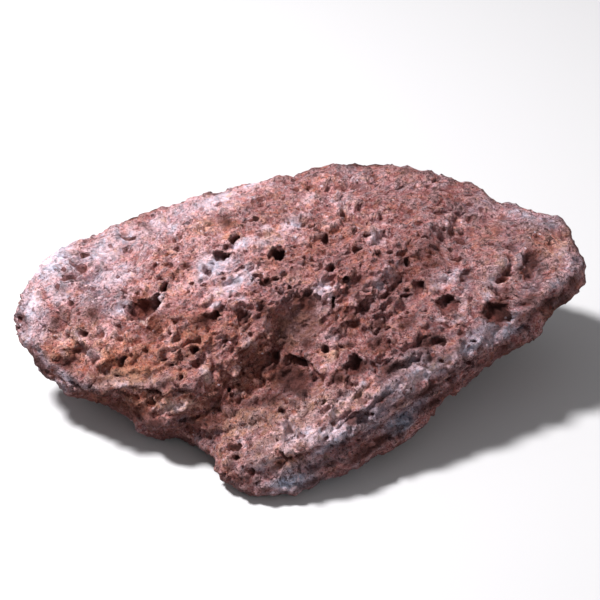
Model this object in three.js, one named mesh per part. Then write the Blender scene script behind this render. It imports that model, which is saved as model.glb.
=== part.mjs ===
// A loose block of red tufa, porous volcanic stone: one solid piece, lying on its broad worn underside.
// Millimetres, +Z up. The origin is on the ground under the middle of the stone, and -Y is the side
// that the broad, sloping face looks out of.
//
// The stone is a closed skin around one point, its heart. Hand-placed corners mark where its broken
// faces meet; flat facets join neighbouring corners, the edges between them are blunted, and the
// weathered lumps and hollows are then raised and sunk along the line from the heart.
import * as THREE from "three";
import { ConvexHull } from "three/addons/math/ConvexHull.js";
import { ImprovedNoise } from "three/addons/math/ImprovedNoise.js";
import { mergeVertices } from "three/addons/utils/BufferGeometryUtils.js";

// Overall size, and the point that the skin is drawn around.
const LENGTH = 250;
const DEPTH = 165;
const HEIGHT = 78;
const HEART = new THREE.Vector3(0, 6, 30);

// The broad face leans back. Corners on it and round its edge are measured square to it:
// [across to the right, up the face, out of the face], from a point this high over the origin.
const FACE_ELEVATION = THREE.MathUtils.degToRad(35);
const FACE_MIDDLE_HEIGHT = 38;

const SKYLINE = [
  [-125.5, 3, -2], [-123.5, 15.5, -6], [-114.5, 28.5, -12], [-100.5, 37.5, -18], [-75.5, 48.5, -24],
  [-48.5, 58.5, -28], [-22.5, 66, -32], [-3.5, 70, -34], [12.5, 73.5, -36], [35.5, 73, -38],
  [58, 71.5, -38], [74, 67, -36], [86, 54, -34], [98.5, 58.5, -30], [115, 55.5, -29],
  [124.5, 45.5, -27], [128.5, 33.5, -21], [128.5, 23, -16],
];
const CREST = [
  [-118, -4.5, 6], [-109, -16, 12], [-97, -27, 18], [-80, -30, 25], [-63.5, -28, 31],
  [-42, -27.5, 35], [-28.5, -54.5, 43], [-16, -59.5, 46], [0, -52, 47], [18.5, -39, 43],
  [42, -22.5, 35], [63.5, -9.5, 27], [85.5, 1.5, 19], [106, 14.5, 9], [121.5, 26.5, -4],
];
const LOWER_CREST = [
  [-4, -64.5, 46.5], [17, -54, 42.5], [36, -43, 36], [53.5, -29.5, 29], [72.5, -18, 22],
  [95, -4, 13], [115, 9.5, 2],
];
const BLOCK_UNDER_CREST = [[-63.5, -33, 25], [-55, -42, 27], [-41, -40.5, 32]];
const UNDERCUT = [
  [128, 16, -12], [120, 8, -4], [105.5, -4.5, 6], [85.5, -16, 12], [63.5, -32.5, 19],
  [47, -49, 27], [27, -59, 36], [13, -66.5, 41], [-4, -71.5, 44], [-18, -70, 43],
  [-29.5, -65, 40], [-37.5, -57, 35], [-41, -50, 29], [-49, -48, 20], [-59.5, -50, 17],
  [-69, -42, 14], [-90, -32, 8], [-102, -25.5, 4], [-112, -19, 2], [-122, -9, 0],
];
const BROAD_FACE = [
  [-104, 11, 8], [-85.5, -2, 19], [-74.5, 24, 2], [-44, 42, -8], [-64, 2.5, 24], [-43, 19.5, 14],
  [-42, -6, 32], [-22, 48.5, -8], [-21, 11, 26], [0, 48.5, -10], [13, 24, 14], [31, 46.5, -10],
  [58, 49, -14], [43, 11, 13], [78, 37.5, -16], [69, 11, 14], [95.5, 15.5, 8], [102.5, 42, -14],
  [61, 19.5, 5], [44, 35, 1], [42, -8, 31], [25.5, 1.5, 22], [0, -20.5, 34], [-27.5, -21, 32],
  [-36, -31, 33], [-16.5, -39, 42], [12.5, -31, 40], [-25.5, -8, 34],
];

// Corners of the back and the underside, as [x, y, z] over the ground.
const BACK = [
  [-100, 48, 44], [-72, 62, 48], [-32, 77, 55], [14, 87, 52], [52, 85, 54], [90, 75, 44],
  [116, 58, 42], [124, 40, 34], [-88, 58, 30], [-50, 74, 34], [-10, 82, 34], [32, 90, 36],
  [68, 79, 30], [108, 54, 28], [-104, 28, 20], [-70, 58, 14], [-25, 70, 14], [18, 80, 16],
  [58, 70, 14], [94, 56, 18], [112, 34, 20], [-112, 5, 22], [-95, -5, 8],
];
const UNDERSIDE = [
  [-8, -64], [22, -46], [46, -25], [70, 12], [80, 32], [55, 50], [5, 58], [-45, 48], [-78, 26],
  [-80, 4], [-60, -22], [-38, -33], [-24, -57],
];

// Weathered hollows in the broad face: middle and half-sizes across and up the face, and depth.
const HOLLOWS = [
  { middle: [0, -2], half: [17, 17], depth: 7 },
  { middle: [1, -23], half: [14, 10], depth: 3.5 },
  { middle: [84.5, 6.5], half: [10, 10], depth: 3 },
  { middle: [103, 28], half: [9, 14], depth: 4 },
];

const SPLITS = 20; // new corners along each edge of an icosahedron, to give a ball of small facets
const EVEN_SPREAD = 2 / 3; // of a half-size: spreads the facets evenly over a long, low body
const BLUNT = 4; // how far round a point its skin is averaged
const RING = 8; // directions in that average
const LUMPS = [
  { size: 26, height: 2.4 },
  { size: 11, height: 1.4 },
];
const FOOT = 1.5; // worn off flat under the stone

function fromFace([across, up, out]) {
  const sin = Math.sin(FACE_ELEVATION);
  const cos = Math.cos(FACE_ELEVATION);
  return new THREE.Vector3(across, up * sin - out * cos, FACE_MIDDLE_HEIGHT + up * cos + out * sin);
}

function toFace({ x, y, z }) {
  const sin = Math.sin(FACE_ELEVATION);
  const cos = Math.cos(FACE_ELEVATION);
  const rise = z - FACE_MIDDLE_HEIGHT;
  return [x, y * sin + rise * cos, rise * sin - y * cos];
}

function allCorners() {
  return [
    ...[...SKYLINE, ...CREST, ...LOWER_CREST, ...BLOCK_UNDER_CREST, ...UNDERCUT, ...BROAD_FACE].map(fromFace),
    ...BACK.map(([x, y, z]) => new THREE.Vector3(x, y, z)),
    ...UNDERSIDE.map(([x, y]) => new THREE.Vector3(x, y, 0)),
  ].map((corner) => corner.sub(HEART));
}

// Flat facets between neighbouring corners. Corners are neighbours where they are on one face of
// the convex hull of their directions, taken after the body is squeezed to a ball.
function facetsBetween(corners) {
  const squeeze = new THREE.Vector3(2 / LENGTH, 2 / DEPTH, 2 / HEIGHT);
  const cornerOf = new Map(corners.map((corner) => [corner.clone().multiply(squeeze).normalize(), corner]));
  const hull = new ConvexHull().setFromPoints([...cornerOf.keys()]);
  return hull.faces.map((face) => {
    const edges = [face.edge, face.edge.next, face.edge.prev];
    const [a, b, c] = edges.map((edge) => cornerOf.get(edge.head().point));
    const normal = b.clone().sub(a).cross(c.clone().sub(a));
    const sides = [a.clone().cross(b), b.clone().cross(c), c.clone().cross(a)];
    return { normal, sides, offset: normal.dot(a) };
  });
}

const HAIR = 1e-9; // lets a direction along an edge meet both facets
const ACROSS = new THREE.Vector3(0.3, 0.5, 0.8); // any line will do: it only starts the ring

// How far the facets are from the heart along a direction.
function reachOf(facets, direction) {
  for (const { normal, sides, offset } of facets) {
    if (sides.every((side) => side.dot(direction) >= -HAIR)) return offset / normal.dot(direction);
  }
  throw new Error("a direction meets no facet");
}

// The same, averaged over a ring of directions BLUNT millimetres away on the skin.
function bluntReach(facets, direction) {
  const middle = reachOf(facets, direction);
  const aside = ACROSS.clone().cross(direction).normalize();
  let sum = middle;
  for (let i = 0; i < RING; i++) {
    const turned = aside.clone().applyAxisAngle(direction, (i / RING) * 2 * Math.PI);
    sum += reachOf(facets, direction.clone().addScaledVector(turned, BLUNT / middle).normalize());
  }
  return sum / (RING + 1);
}

const noise = new ImprovedNoise();

function lumpAt({ x, y, z }) {
  return LUMPS.reduce((sum, { size, height }) => sum + height * noise.noise(x / size, y / size, z / size), 0);
}

// How deep the hollows are at a point: each is a bowl, (1 - r²)², seen square to the broad face.
function hollowAt(point) {
  const [across, up, out] = toFace(point);
  if (out < 0) return 0;
  return HOLLOWS.reduce((sum, { middle, half, depth }) => {
    const r2 = ((across - middle[0]) / half[0]) ** 2 + ((up - middle[1]) / half[1]) ** 2;
    return sum + (r2 < 1 ? depth * (1 - r2) ** 2 : 0);
  }, 0);
}

function stoneGeometry() {
  const facets = facetsBetween(allCorners());
  const ball = new THREE.IcosahedronGeometry(1, SPLITS);
  ball.deleteAttribute("normal");
  ball.deleteAttribute("uv");
  const geometry = mergeVertices(ball);
  const spread = new THREE.Vector3(LENGTH, DEPTH, HEIGHT);
  spread.set(...spread.toArray().map((size) => (size / 2) ** EVEN_SPREAD));
  const place = geometry.getAttribute("position");
  const point = new THREE.Vector3();
  for (let i = 0; i < place.count; i++) {
    const direction = point.fromBufferAttribute(place, i).multiply(spread).normalize().clone();
    const reach = bluntReach(facets, direction);
    point.copy(direction).multiplyScalar(reach).add(HEART);
    point.addScaledVector(direction, lumpAt(point) - hollowAt(point));
    place.setXYZ(i, point.x, point.y, Math.max(point.z, FOOT));
  }
  geometry.computeBoundingBox();
  const { min, max } = geometry.boundingBox;
  return geometry.translate(-(min.x + max.x) / 2, -(min.y + max.y) / 2, -min.z);
}

function makeStone() {
  const tufa = new THREE.MeshStandardMaterial({ color: 0xa8705f, roughness: 0.95, metalness: 0 });
  const stone = new THREE.Mesh(stoneGeometry(), tufa);
  stone.name = "tufa_stone";
  return stone;
}

const model = new THREE.Group();
model.add(makeStone());
export default model;
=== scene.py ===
"""A loose block of red tufa, porous volcanic stone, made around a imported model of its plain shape.

The stone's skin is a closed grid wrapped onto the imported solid. Lumps, crags, open pores and grain are worked
out on that grid as whole arrays, and its material adds what is finer than the grid. Lengths are in metres.
"""

import math
from functools import reduce
from itertools import product
from typing import NamedTuple

import bmesh
import bpy
import numpy as np
from bpy.props import FloatProperty, FloatVectorProperty, IntProperty, PointerProperty
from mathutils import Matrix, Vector


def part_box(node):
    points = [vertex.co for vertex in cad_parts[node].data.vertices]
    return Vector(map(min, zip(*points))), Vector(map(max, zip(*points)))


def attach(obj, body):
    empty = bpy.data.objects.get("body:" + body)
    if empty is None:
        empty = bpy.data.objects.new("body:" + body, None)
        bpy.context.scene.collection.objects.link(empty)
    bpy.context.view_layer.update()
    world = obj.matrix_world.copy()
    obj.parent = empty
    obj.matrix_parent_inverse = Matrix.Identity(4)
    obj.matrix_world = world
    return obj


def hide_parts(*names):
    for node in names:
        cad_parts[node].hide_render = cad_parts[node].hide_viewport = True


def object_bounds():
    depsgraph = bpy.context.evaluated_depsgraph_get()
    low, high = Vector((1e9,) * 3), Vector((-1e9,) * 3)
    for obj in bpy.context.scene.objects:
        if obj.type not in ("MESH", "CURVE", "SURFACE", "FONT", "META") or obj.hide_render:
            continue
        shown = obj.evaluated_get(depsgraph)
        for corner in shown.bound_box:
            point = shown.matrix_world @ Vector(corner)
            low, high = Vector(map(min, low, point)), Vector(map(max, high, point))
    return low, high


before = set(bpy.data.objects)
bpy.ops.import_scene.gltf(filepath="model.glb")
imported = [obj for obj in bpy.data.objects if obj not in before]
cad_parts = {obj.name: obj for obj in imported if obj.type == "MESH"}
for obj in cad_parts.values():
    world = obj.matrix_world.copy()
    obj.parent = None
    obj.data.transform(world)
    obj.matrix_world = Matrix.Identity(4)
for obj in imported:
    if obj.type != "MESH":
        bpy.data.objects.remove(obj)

bl_info = {
    "name": "Red tufa stone",
    "version": (1, 0, 0),
    "blender": (4, 5, 0),
    "location": "3D View > Sidebar > Tufa",
    "description": "Makes a pitted block of red tufa around its packed model, and a plain stage for it",
    "category": "Add Mesh",
}

CAD_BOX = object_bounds()
NODE = "tufa_stone"
BODY = "root"
MM = 0.001
FLOOR_SIZE = 3.0

# The camera of the stage: it looks along +Y and down, square to the stone's broad face.
LENS = 120.0
SENSOR = 36.0
PICTURE = 600  # pixels along each side of the picture
ELEVATION = math.radians(35)
CAMERA_AIM = np.array([-1.0, 0.3, 45.4]) * MM
CAMERA_DISTANCE = 870 * MM

# The picture's own axes. The broad face is square to them too.
RIGHT = np.array([1.0, 0.0, 0.0])
UP = np.array([0.0, math.sin(ELEVATION), math.cos(ELEVATION)])
OUT = np.array([0.0, -math.cos(ELEVATION), math.sin(ELEVATION)])
CAMERA_PLACE = CAMERA_AIM + CAMERA_DISTANCE * OUT


class Pore(NamedTuple):
    """An open pore or scoop in the broad face.

    pixel is where its middle shows in the picture, right and down from the top left corner. Its length and
    width are in millimetres, its lean in degrees up from the right, and its depth in millimetres. reach is
    how far its floor lies to the right of and above its mouth, in millimetres, flat makes its floor flatter
    above 2, and dark is how dark the shade painted on its walls is, from 0 to 1.
    """

    pixel: tuple
    size: tuple
    lean: float
    depth: float
    reach: tuple = (0, 0)
    flat: float = 2
    dark: float = 1


class Ledge(NamedTuple):
    """A broken edge across the face.

    corners are its corners in pixels, from left to right. rise is how far the skin over it stands out and
    drop is how far the skin under it falls back, both in millimetres. over and under are how far from it
    the two fade, and step is how wide the step between them is, all three in pixels.
    """

    corners: tuple
    rise: float
    drop: float
    over: float
    under: float
    step: float


class Zone(NamedTuple):
    """A soft patch of the broad face: its middle and half-sizes in pixels, its lean in degrees up from the
    right and its strength."""

    pixel: tuple
    half: tuple
    lean: float
    strength: float = 1


class Nudge(NamedTuple):
    """A place where the outline is drawn out or in: its pixel, how far it moves to the right and up, and
    how far round it the move reaches, all in pixels."""

    pixel: tuple
    move: tuple
    reach: float


def rows_of(kind, *rows):
    """A list of one kind of thing from rows: two numbers for its pixel, two for its sizes or its move, and
    then the rest in order."""
    return [kind(row[:2], row[2:4], *row[4:]) for row in rows]


# Where the stone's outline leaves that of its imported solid.
NUDGES = rows_of(
    Nudge,
    (17, 315, -4, 0, 22), (18, 336, -3, -1, 12), (30, 276, 3, -2, 10), (45, 262, -2, 2, 10),
    (76, 243, -1, 3, 18), (260, 182, 0, -2, 14), (290, 174, 0, -2, 16), (340, 163, 0, -2, 20),
    (266, 179, -1, 3, 20), (398, 170, 0, 4, 30), (428, 174, 1, 4, 18), (478, 188, 3, 3, 14),
    (512, 204, 0, 3, 14), (488, 197, -2, -4, 12), (530, 211, 2, 5, 26), (558, 218, 4, 5, 10),
    (578, 245, -9, -1, 18), (586, 276, 2, 0, 8), (560, 312, -5, 3, 22), (535, 340, 1, -2, 12),
    (518, 347, -3, 4, 24), (450, 403, -3, 4, 34), (372, 456, 0, 3, 16), (350, 468, -1, 3, 16),
    (326, 481, -2, 4, 14), (300, 494, 0, 2, 20), (246, 488, -1, -1, 20), (208, 455, 4, 4, 10),
    (219, 472, -2, -2, 10), (182, 440, 2, 7, 14), (200, 447, -2, -1, 8), (140, 425, -1, -1, 14),
    (100, 408, 1, 3, 16), (80, 400, 3, 3, 14), (72, 393, -4, -6, 18), (24, 350, 3, 1, 10),
)

# Broad rises of the face, and its dells where the strength is below 0. Here a strength is a height, in
# millimetres.
RISES = rows_of(
    Zone,
    (298, 326, 28, 27, 40, -0.9), (263, 366, 35, 23, 35, -8.0), (226, 398, 34, 14, 22, -6.0),
    (286, 386, 22, 12, 5, -1.5), (232, 410, 36, 8, 15, -3.0), (180, 420, 36, 8, 5, -1.6),
    (120, 352, 60, 26, -5, 2.0), (346, 340, 20, 15, 45, 3.0), (296, 450, 58, 15, 18, 4.5),
    (382, 300, 54, 12, 42, -3.0), (424, 372, 110, 12, 33, 3.0), (500, 250, 20, 24, -20, 1.8),
    (230, 274, 46, 14, 35, 2.5), (345, 212, 18, 20, 20, 1.2), (428, 254, 40, 14, 50, -2.0),
    (205, 374, 20, 8, 30, 2.0), (118, 388, 44, 11, 0, 2.4), (116, 354, 17, 12, 45, 3.0),
    (331, 288, 10, 9, 0, 1.8), (98, 362, 11, 9, 0, 3.2), (34, 347, 8, 6, 0, 1.2), (220, 287, 8, 5, 0, 0.8),
    (250, 447, 9, 6, 0, 0.9), (324, 300, 7, 9, 0, 1.0), (492, 301, 9, 5, 0, 1.0), (219, 306, 7, 5, 0, 0.8),
    (266, 231, 8, 5, 0, 0.8), (166, 421, 24, 8, 0, 2.0),
)

# The broken edges of the face.
LEDGES = [
    Ledge(((24, 328), (45, 358), (72, 383)), 0.8, 1.0, 12, 8, 6),
    Ledge(((60, 374), (78, 386), (108, 393), (134, 391)), 1.6, 4.0, 16, 24, 3),
    Ledge(((130, 392), (160, 390), (204, 388)), 1.2, 1.8, 12, 7, 2),
    Ledge(((250, 468), (285, 458), (340, 442), (375, 424), (400, 411), (430, 388), (455, 372), (490, 350),
           (520, 327), (555, 292), (578, 274)), 1.5, 3.2, 12, 12, 5),
    Ledge(((300, 438), (345, 416), (395, 384), (445, 356), (500, 329), (540, 298)), 0.7, 0.7, 10, 10, 9),
    Ledge(((266, 356), (262, 334), (269, 314), (284, 298)), 0.3, 0.6, 8, 20, 3),
    Ledge(((280, 301), (294, 293), (308, 291), (319, 295)), 0.5, 2.0, 8, 20, 1.5),
    Ledge(((277, 369), (285, 363), (292, 360), (299, 360), (307, 364), (314, 365), (330, 376)),
          0.6, 1.6, 9, 18, 1.5),
    Ledge(((213, 362), (224, 366), (236, 378), (228, 392)), 0.8, 2.2, 8, 14, 2),
    Ledge(((336, 352), (352, 333), (372, 322), (400, 303), (440, 283), (470, 268)), 0.8, 1.8, 14, 14, 9),
    Ledge(((385, 370), (396, 362), (410, 358), (424, 354)), 0.6, 1.8, 6, 9, 1.5),
    Ledge(((150, 428), (184, 424), (206, 427)), 1.0, 2.5, 10, 12, 3),
]

# The broad hollows of the face, sunk first.
HOLLOWS = rows_of(
    Pore,
    (207, 321, 11, 6.5, 30, 2.8, (1, 1)), (298, 382, 20, 15, -10, 1.6, (0, 1), 5, 0.4),
    (188, 354, 13, 6.5, 45, 3.0, (1, 1)), (531, 262, 17, 7.5, 72, 4.2, (-1, 0)),
    (471, 276, 10, 8, -20, 3.4, (-1.5, 1.5), 3), (62, 321, 11, 6, 55, 2.0, (1.5, -1)),
    (77, 355, 10, 7, 50, 3.0, (1, 1), 3), (365, 309, 11, 6.5, 50, 3.5, (-0.5, 0.5)),
    (94, 315, 8, 8, 0, 1.0), (128, 328, 7, 6, 0, 1.0, (0, 1)), (162, 327, 15, 4.5, 48, 2.0),
    (111, 367, 9, 4.5, 35, 2.0), (352, 326, 9, 4, 5, 2.5, (0, 1)), (523, 229, 10, 7, 10, 1.5),
    (356, 421, 12, 8, 10, 2.4, (0, 2)), (335, 381, 7, 6, 20, 2.5), (383, 375, 6, 7, 0, 1.5),
    (400, 366, 9, 4, 10, 2.5, (0, 1)), (66, 327, 14, 4.5, 52, 1.6, (1, -1)), (142, 336, 14, 3.6, 45, 2.0),
    (176, 312, 13, 3.4, 42, 1.8), (178, 336, 12, 3.2, 50, 1.8), (426, 342, 11, 6, 30, 3.0, (0, 1)),
    (405, 320, 12, 5, 42, 2.4, (0, 1)), (381, 331, 11, 4.5, 40, 2.2, (0, 1)),
    (396, 366, 11, 4.5, 30, 2.4, (0, 1)), (340, 372, 8, 5, 30, 2.0, (0, 1)),
    (350, 290, 13, 5, 50, 2.2, (0, 1)),
)

# Where the crags are rougher than elsewhere. Here a strength is how much higher they rise, as a share.
RUGGED = rows_of(
    Zone,
    (100, 345, 110, 60, -5, 0.1), (300, 430, 60, 40, 20, 0.2),
)

# Broken bubbles with bare, even walls.
BARE = rows_of(
    Zone,
    (300, 318, 21, 24, -40), (298, 382, 14, 10, -15, 0.6),
)

# Open pores: two broad ones, and then the rest, roughly from the left end to the right.
PORES = rows_of(
    Pore,
    (141, 310, 11.5, 11, 40, 5.0, (0.5, 0.5), 5, 0.5), (497, 314, 12, 12, 10, 2.4, (0, 1), 6),
    (22, 318, 4.3, 4.3, 0, 2.5), (62, 267, 3.0, 2.1, 0, 2.2), (56, 285, 2.4, 3.0, 0, 1.8),
    (70, 279, 5.8, 4.2, 10, 2.2), (73, 262, 3.0, 2.0, -20, 1.8), (82, 268, 5.0, 5.0, 0, 1.8),
    (82, 254, 2.5, 2.8, 0, 2.5), (88, 244, 2.2, 2.2, 0, 1.8), (95, 239, 5.2, 2.2, 25, 1.5),
    (128, 237, 8.5, 2.8, -8, 2.4), (126, 250, 2.4, 4.0, 0, 2.0), (70, 302, 2.6, 3.0, 0, 2.4),
    (78, 313, 2.2, 2.2, 0, 1.6), (81, 334, 4.3, 3.4, 0, 2.4), (94, 334, 2.4, 2.2, 0, 1.6),
    (102, 336, 3.4, 4.4, 0, 1.4), (54, 337, 3.0, 1.8, 10, 1.6), (60, 360, 4.4, 2.6, 55, 1.6),
    (104, 386, 4.4, 2.6, 0, 3.0), (92, 385, 2.2, 2.2, 0, 2.4), (82, 381, 2.6, 1.8, 0, 1.8),
    (119, 364, 7.0, 2.8, 60, 2.4), (124, 292, 3.4, 4.0, 20, 2.0), (137, 292, 2.0, 2.0, 0, 1.6),
    (151, 306, 6.4, 10.5, -25, 9.0, (0.5, 1), 5), (165, 286, 6.4, 2.4, 68, 5.0),
    (159, 249, 1.9, 1.9, 0, 1.8), (173, 240, 2.0, 2.0, 0, 1.8), (176, 249, 4.5, 2.2, 65, 2.4),
    (170, 265, 2.6, 3.6, 0, 1.8), (186, 266, 5.2, 4.0, 0, 1.8), (188, 292, 1.8, 2.2, 0, 1.6),
    (170, 334, 2.0, 2.0, 0, 1.8), (127, 350, 1.8, 2.2, 0, 2.0), (131, 355, 2.1, 2.1, 0, 1.6),
    (146, 351, 2.3, 1.8, 0, 1.8), (165, 360, 3.0, 1.8, 10, 1.8), (180, 376, 2.6, 3.2, 0, 3.4),
    (197, 364, 5.0, 3.2, 20, 1.6, (0, 0), 2, 0.4), (204, 285, 3.0, 2.3, 0, 1.5),
    (209, 273, 2.8, 2.8, 0, 1.6), (224, 278, 2.4, 1.9, 0, 1.6), (215, 317, 4.6, 3.8, 20, 4.0, (1, 1)),
    (194, 349, 4.2, 4.2, 30, 4.5), (219, 204, 4.4, 2.3, 25, 1.5), (232, 218, 6.8, 2.8, 20, 4.0),
    (251, 219, 7.8, 3.4, 8, 2.4), (235, 239, 5.0, 3.0, 35, 4.6),
    (222, 256, 6.8, 4.2, 3, 5.0, (0.5, 0.5), 4), (276, 257, 7.2, 5.5, 22, 6.5, (0.5, 0.5)),
    (260, 199, 3.4, 3.9, 0, 1.6), (260, 206, 2.9, 2.0, 0, 1.6), (295, 189, 3.4, 2.6, 10, 2.2),
    (309, 186, 4.0, 3.6, 30, 2.6), (342, 186, 5.0, 2.8, 0, 1.4), (243, 267, 2.6, 2.1, 0, 1.6),
    (258, 276, 5.2, 3.0, 25, 2.0), (265, 282, 4.0, 6.0, -25, 3.8), (274, 279, 4.2, 1.8, 5, 2.4),
    (290, 287, 1.8, 2.5, -20, 2.8), (294, 255, 2.6, 2.3, 0, 1.6), (305, 257, 3.0, 2.1, 25, 1.7),
    (304, 225, 3.0, 3.6, 0, 2.6), (313, 224, 3.6, 3.2, 0, 3.0), (326, 240, 3.3, 6.0, 0, 2.0),
    (321, 265, 1.8, 5.0, 0, 1.8), (331, 267, 3.4, 4.6, 0, 4.2), (357, 249, 4.9, 4.3, 0, 3.2),
    (377, 252, 4.8, 1.9, -12, 3.2), (346, 279, 4.2, 2.6, -22, 2.8),
    (331, 281, 6.4, 4.4, 10, 0.8, (0, 0), 2, 0.4), (333, 303, 2.0, 4.8, -6, 3.2),
    (337, 319, 2.6, 4.2, -10, 2.2), (243, 314, 6.2, 7.2, -20, 4.6, (0, 1)), (225, 341, 2.4, 1.8, 0, 2.0),
    (244, 328, 2.0, 1.8, 0, 1.6), (251, 334, 2.2, 1.9, 0, 1.6), (244, 352, 5.0, 2.8, 15, 1.7),
    (275, 356, 4.6, 7.2, -15, 4.8, (0, 1)), (326, 350, 3.6, 4.0, 40, 3.0), (342, 346, 3.8, 1.8, -35, 2.4),
    (354, 366, 7.4, 9.6, -30, 4.0, (1, 1), 3, 0.6), (357, 363, 4.6, 5.8, -25, 6.0, (1, 1)),
    (348, 383, 3.2, 5.4, -10, 1.6), (387, 328, 3.4, 2.2, 0, 2.4), (372, 329, 2.1, 3.3, 0, 1.8),
    (299, 361, 14, 2.6, -22, 4.0, (0, 2)), (152, 391, 9.5, 2.3, 4, 3.6), (181, 391, 11, 2.1, 4, 3.2),
    (149, 403, 4.6, 5.0, 0, 3.2), (110, 404, 2.4, 1.9, 0, 2.0), (239, 384, 2.0, 2.0, 0, 2.2),
    (229, 391, 1.8, 2.4, 0, 2.2), (233, 394, 2.0, 1.9, 0, 2.0), (219, 408, 2.2, 2.2, 0, 2.2),
    (244, 373, 1.9, 1.9, 0, 1.8), (282, 410, 3.6, 3.0, -20, 2.6), (275, 400, 2.3, 2.1, 0, 2.4),
    (283, 398, 1.9, 1.9, 0, 1.8), (287, 402, 1.9, 2.1, 0, 2.0), (325, 409, 5.2, 3.4, 48, 2.4),
    (290, 437, 8.2, 2.4, 42, 3.0), (300, 435, 3.8, 2.8, 0, 1.6), (283, 457, 7.4, 2.6, -32, 3.0),
    (263, 460, 3.0, 1.8, 0, 1.8), (324, 429, 4.0, 1.8, 50, 1.8), (335, 423, 4.0, 1.8, 50, 1.8),
    (359, 433, 5.6, 2.5, 20, 1.8), (368, 414, 5.0, 1.9, -5, 2.4), (233, 444, 5.8, 4.0, 10, 2.8),
    (232, 457, 4.4, 2.6, 10, 3.0), (217, 463, 3.0, 3.6, 0, 3.0), (252, 471, 4.0, 3.0, 0, 3.0),
    (210, 437, 3.4, 2.3, 0, 2.2), (418, 286, 5.2, 5.0, 30, 4.0, (1, 0.5)), (407, 290, 2.6, 2.2, 0, 2.4),
    (405, 295, 6.0, 1.8, 15, 2.4), (446, 306, 9.2, 10.2, 0, 4.0, (0.5, 1.5), 3, 0.5),
    (448, 299, 6.4, 4.4, 10, 5.5, (0, 1.5)), (423, 310, 3.0, 2.0, 20, 3.4), (407, 312, 1.8, 1.8, 0, 2.0),
    (438, 339, 7.0, 4.6, 15, 4.8, (1, 1)), (462, 334, 3.4, 3.4, 0, 1.4), (503, 282, 4.4, 3.0, 0, 2.2),
    (528, 303, 4.0, 2.1, 0, 1.8), (459, 259, 6.0, 3.6, 0, 2.4), (491, 246, 3.8, 4.2, 0, 1.8),
    (477, 258, 1.8, 3.8, 0, 1.6), (470, 219, 3.8, 3.8, 0, 2.4), (440, 213, 4.4, 1.8, -10, 1.9),
    (428, 197, 2.4, 3.6, 0, 1.8), (442, 186, 2.6, 1.8, 10, 1.8), (409, 212, 2.2, 3.7, 0, 1.5),
    (426, 240, 4.9, 4.9, 0, 2.0), (434, 252, 2.7, 2.0, 0, 1.8), (450, 250, 2.4, 1.9, 0, 1.8),
    (408, 263, 3.5, 4.3, -10, 2.8), (390, 252, 3.0, 1.9, 0, 1.8), (467, 205, 3.8, 2.4, 30, 2.2),
    (418, 223, 3.0, 1.9, 10, 1.6), (444, 229, 2.4, 2.2, 0, 1.6), (461, 242, 6.0, 4.9, 20, 1.6),
    (431, 393, 5.2, 1.9, 12, 2.4), (420, 397, 3.0, 1.8, 10, 1.8), (441, 361, 3.4, 2.2, -20, 2.4),
    (449, 379, 2.4, 1.8, 0, 1.8), (469, 362, 2.4, 1.8, 0, 1.8), (504, 347, 3.0, 2.2, 20, 1.8),
)
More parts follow.
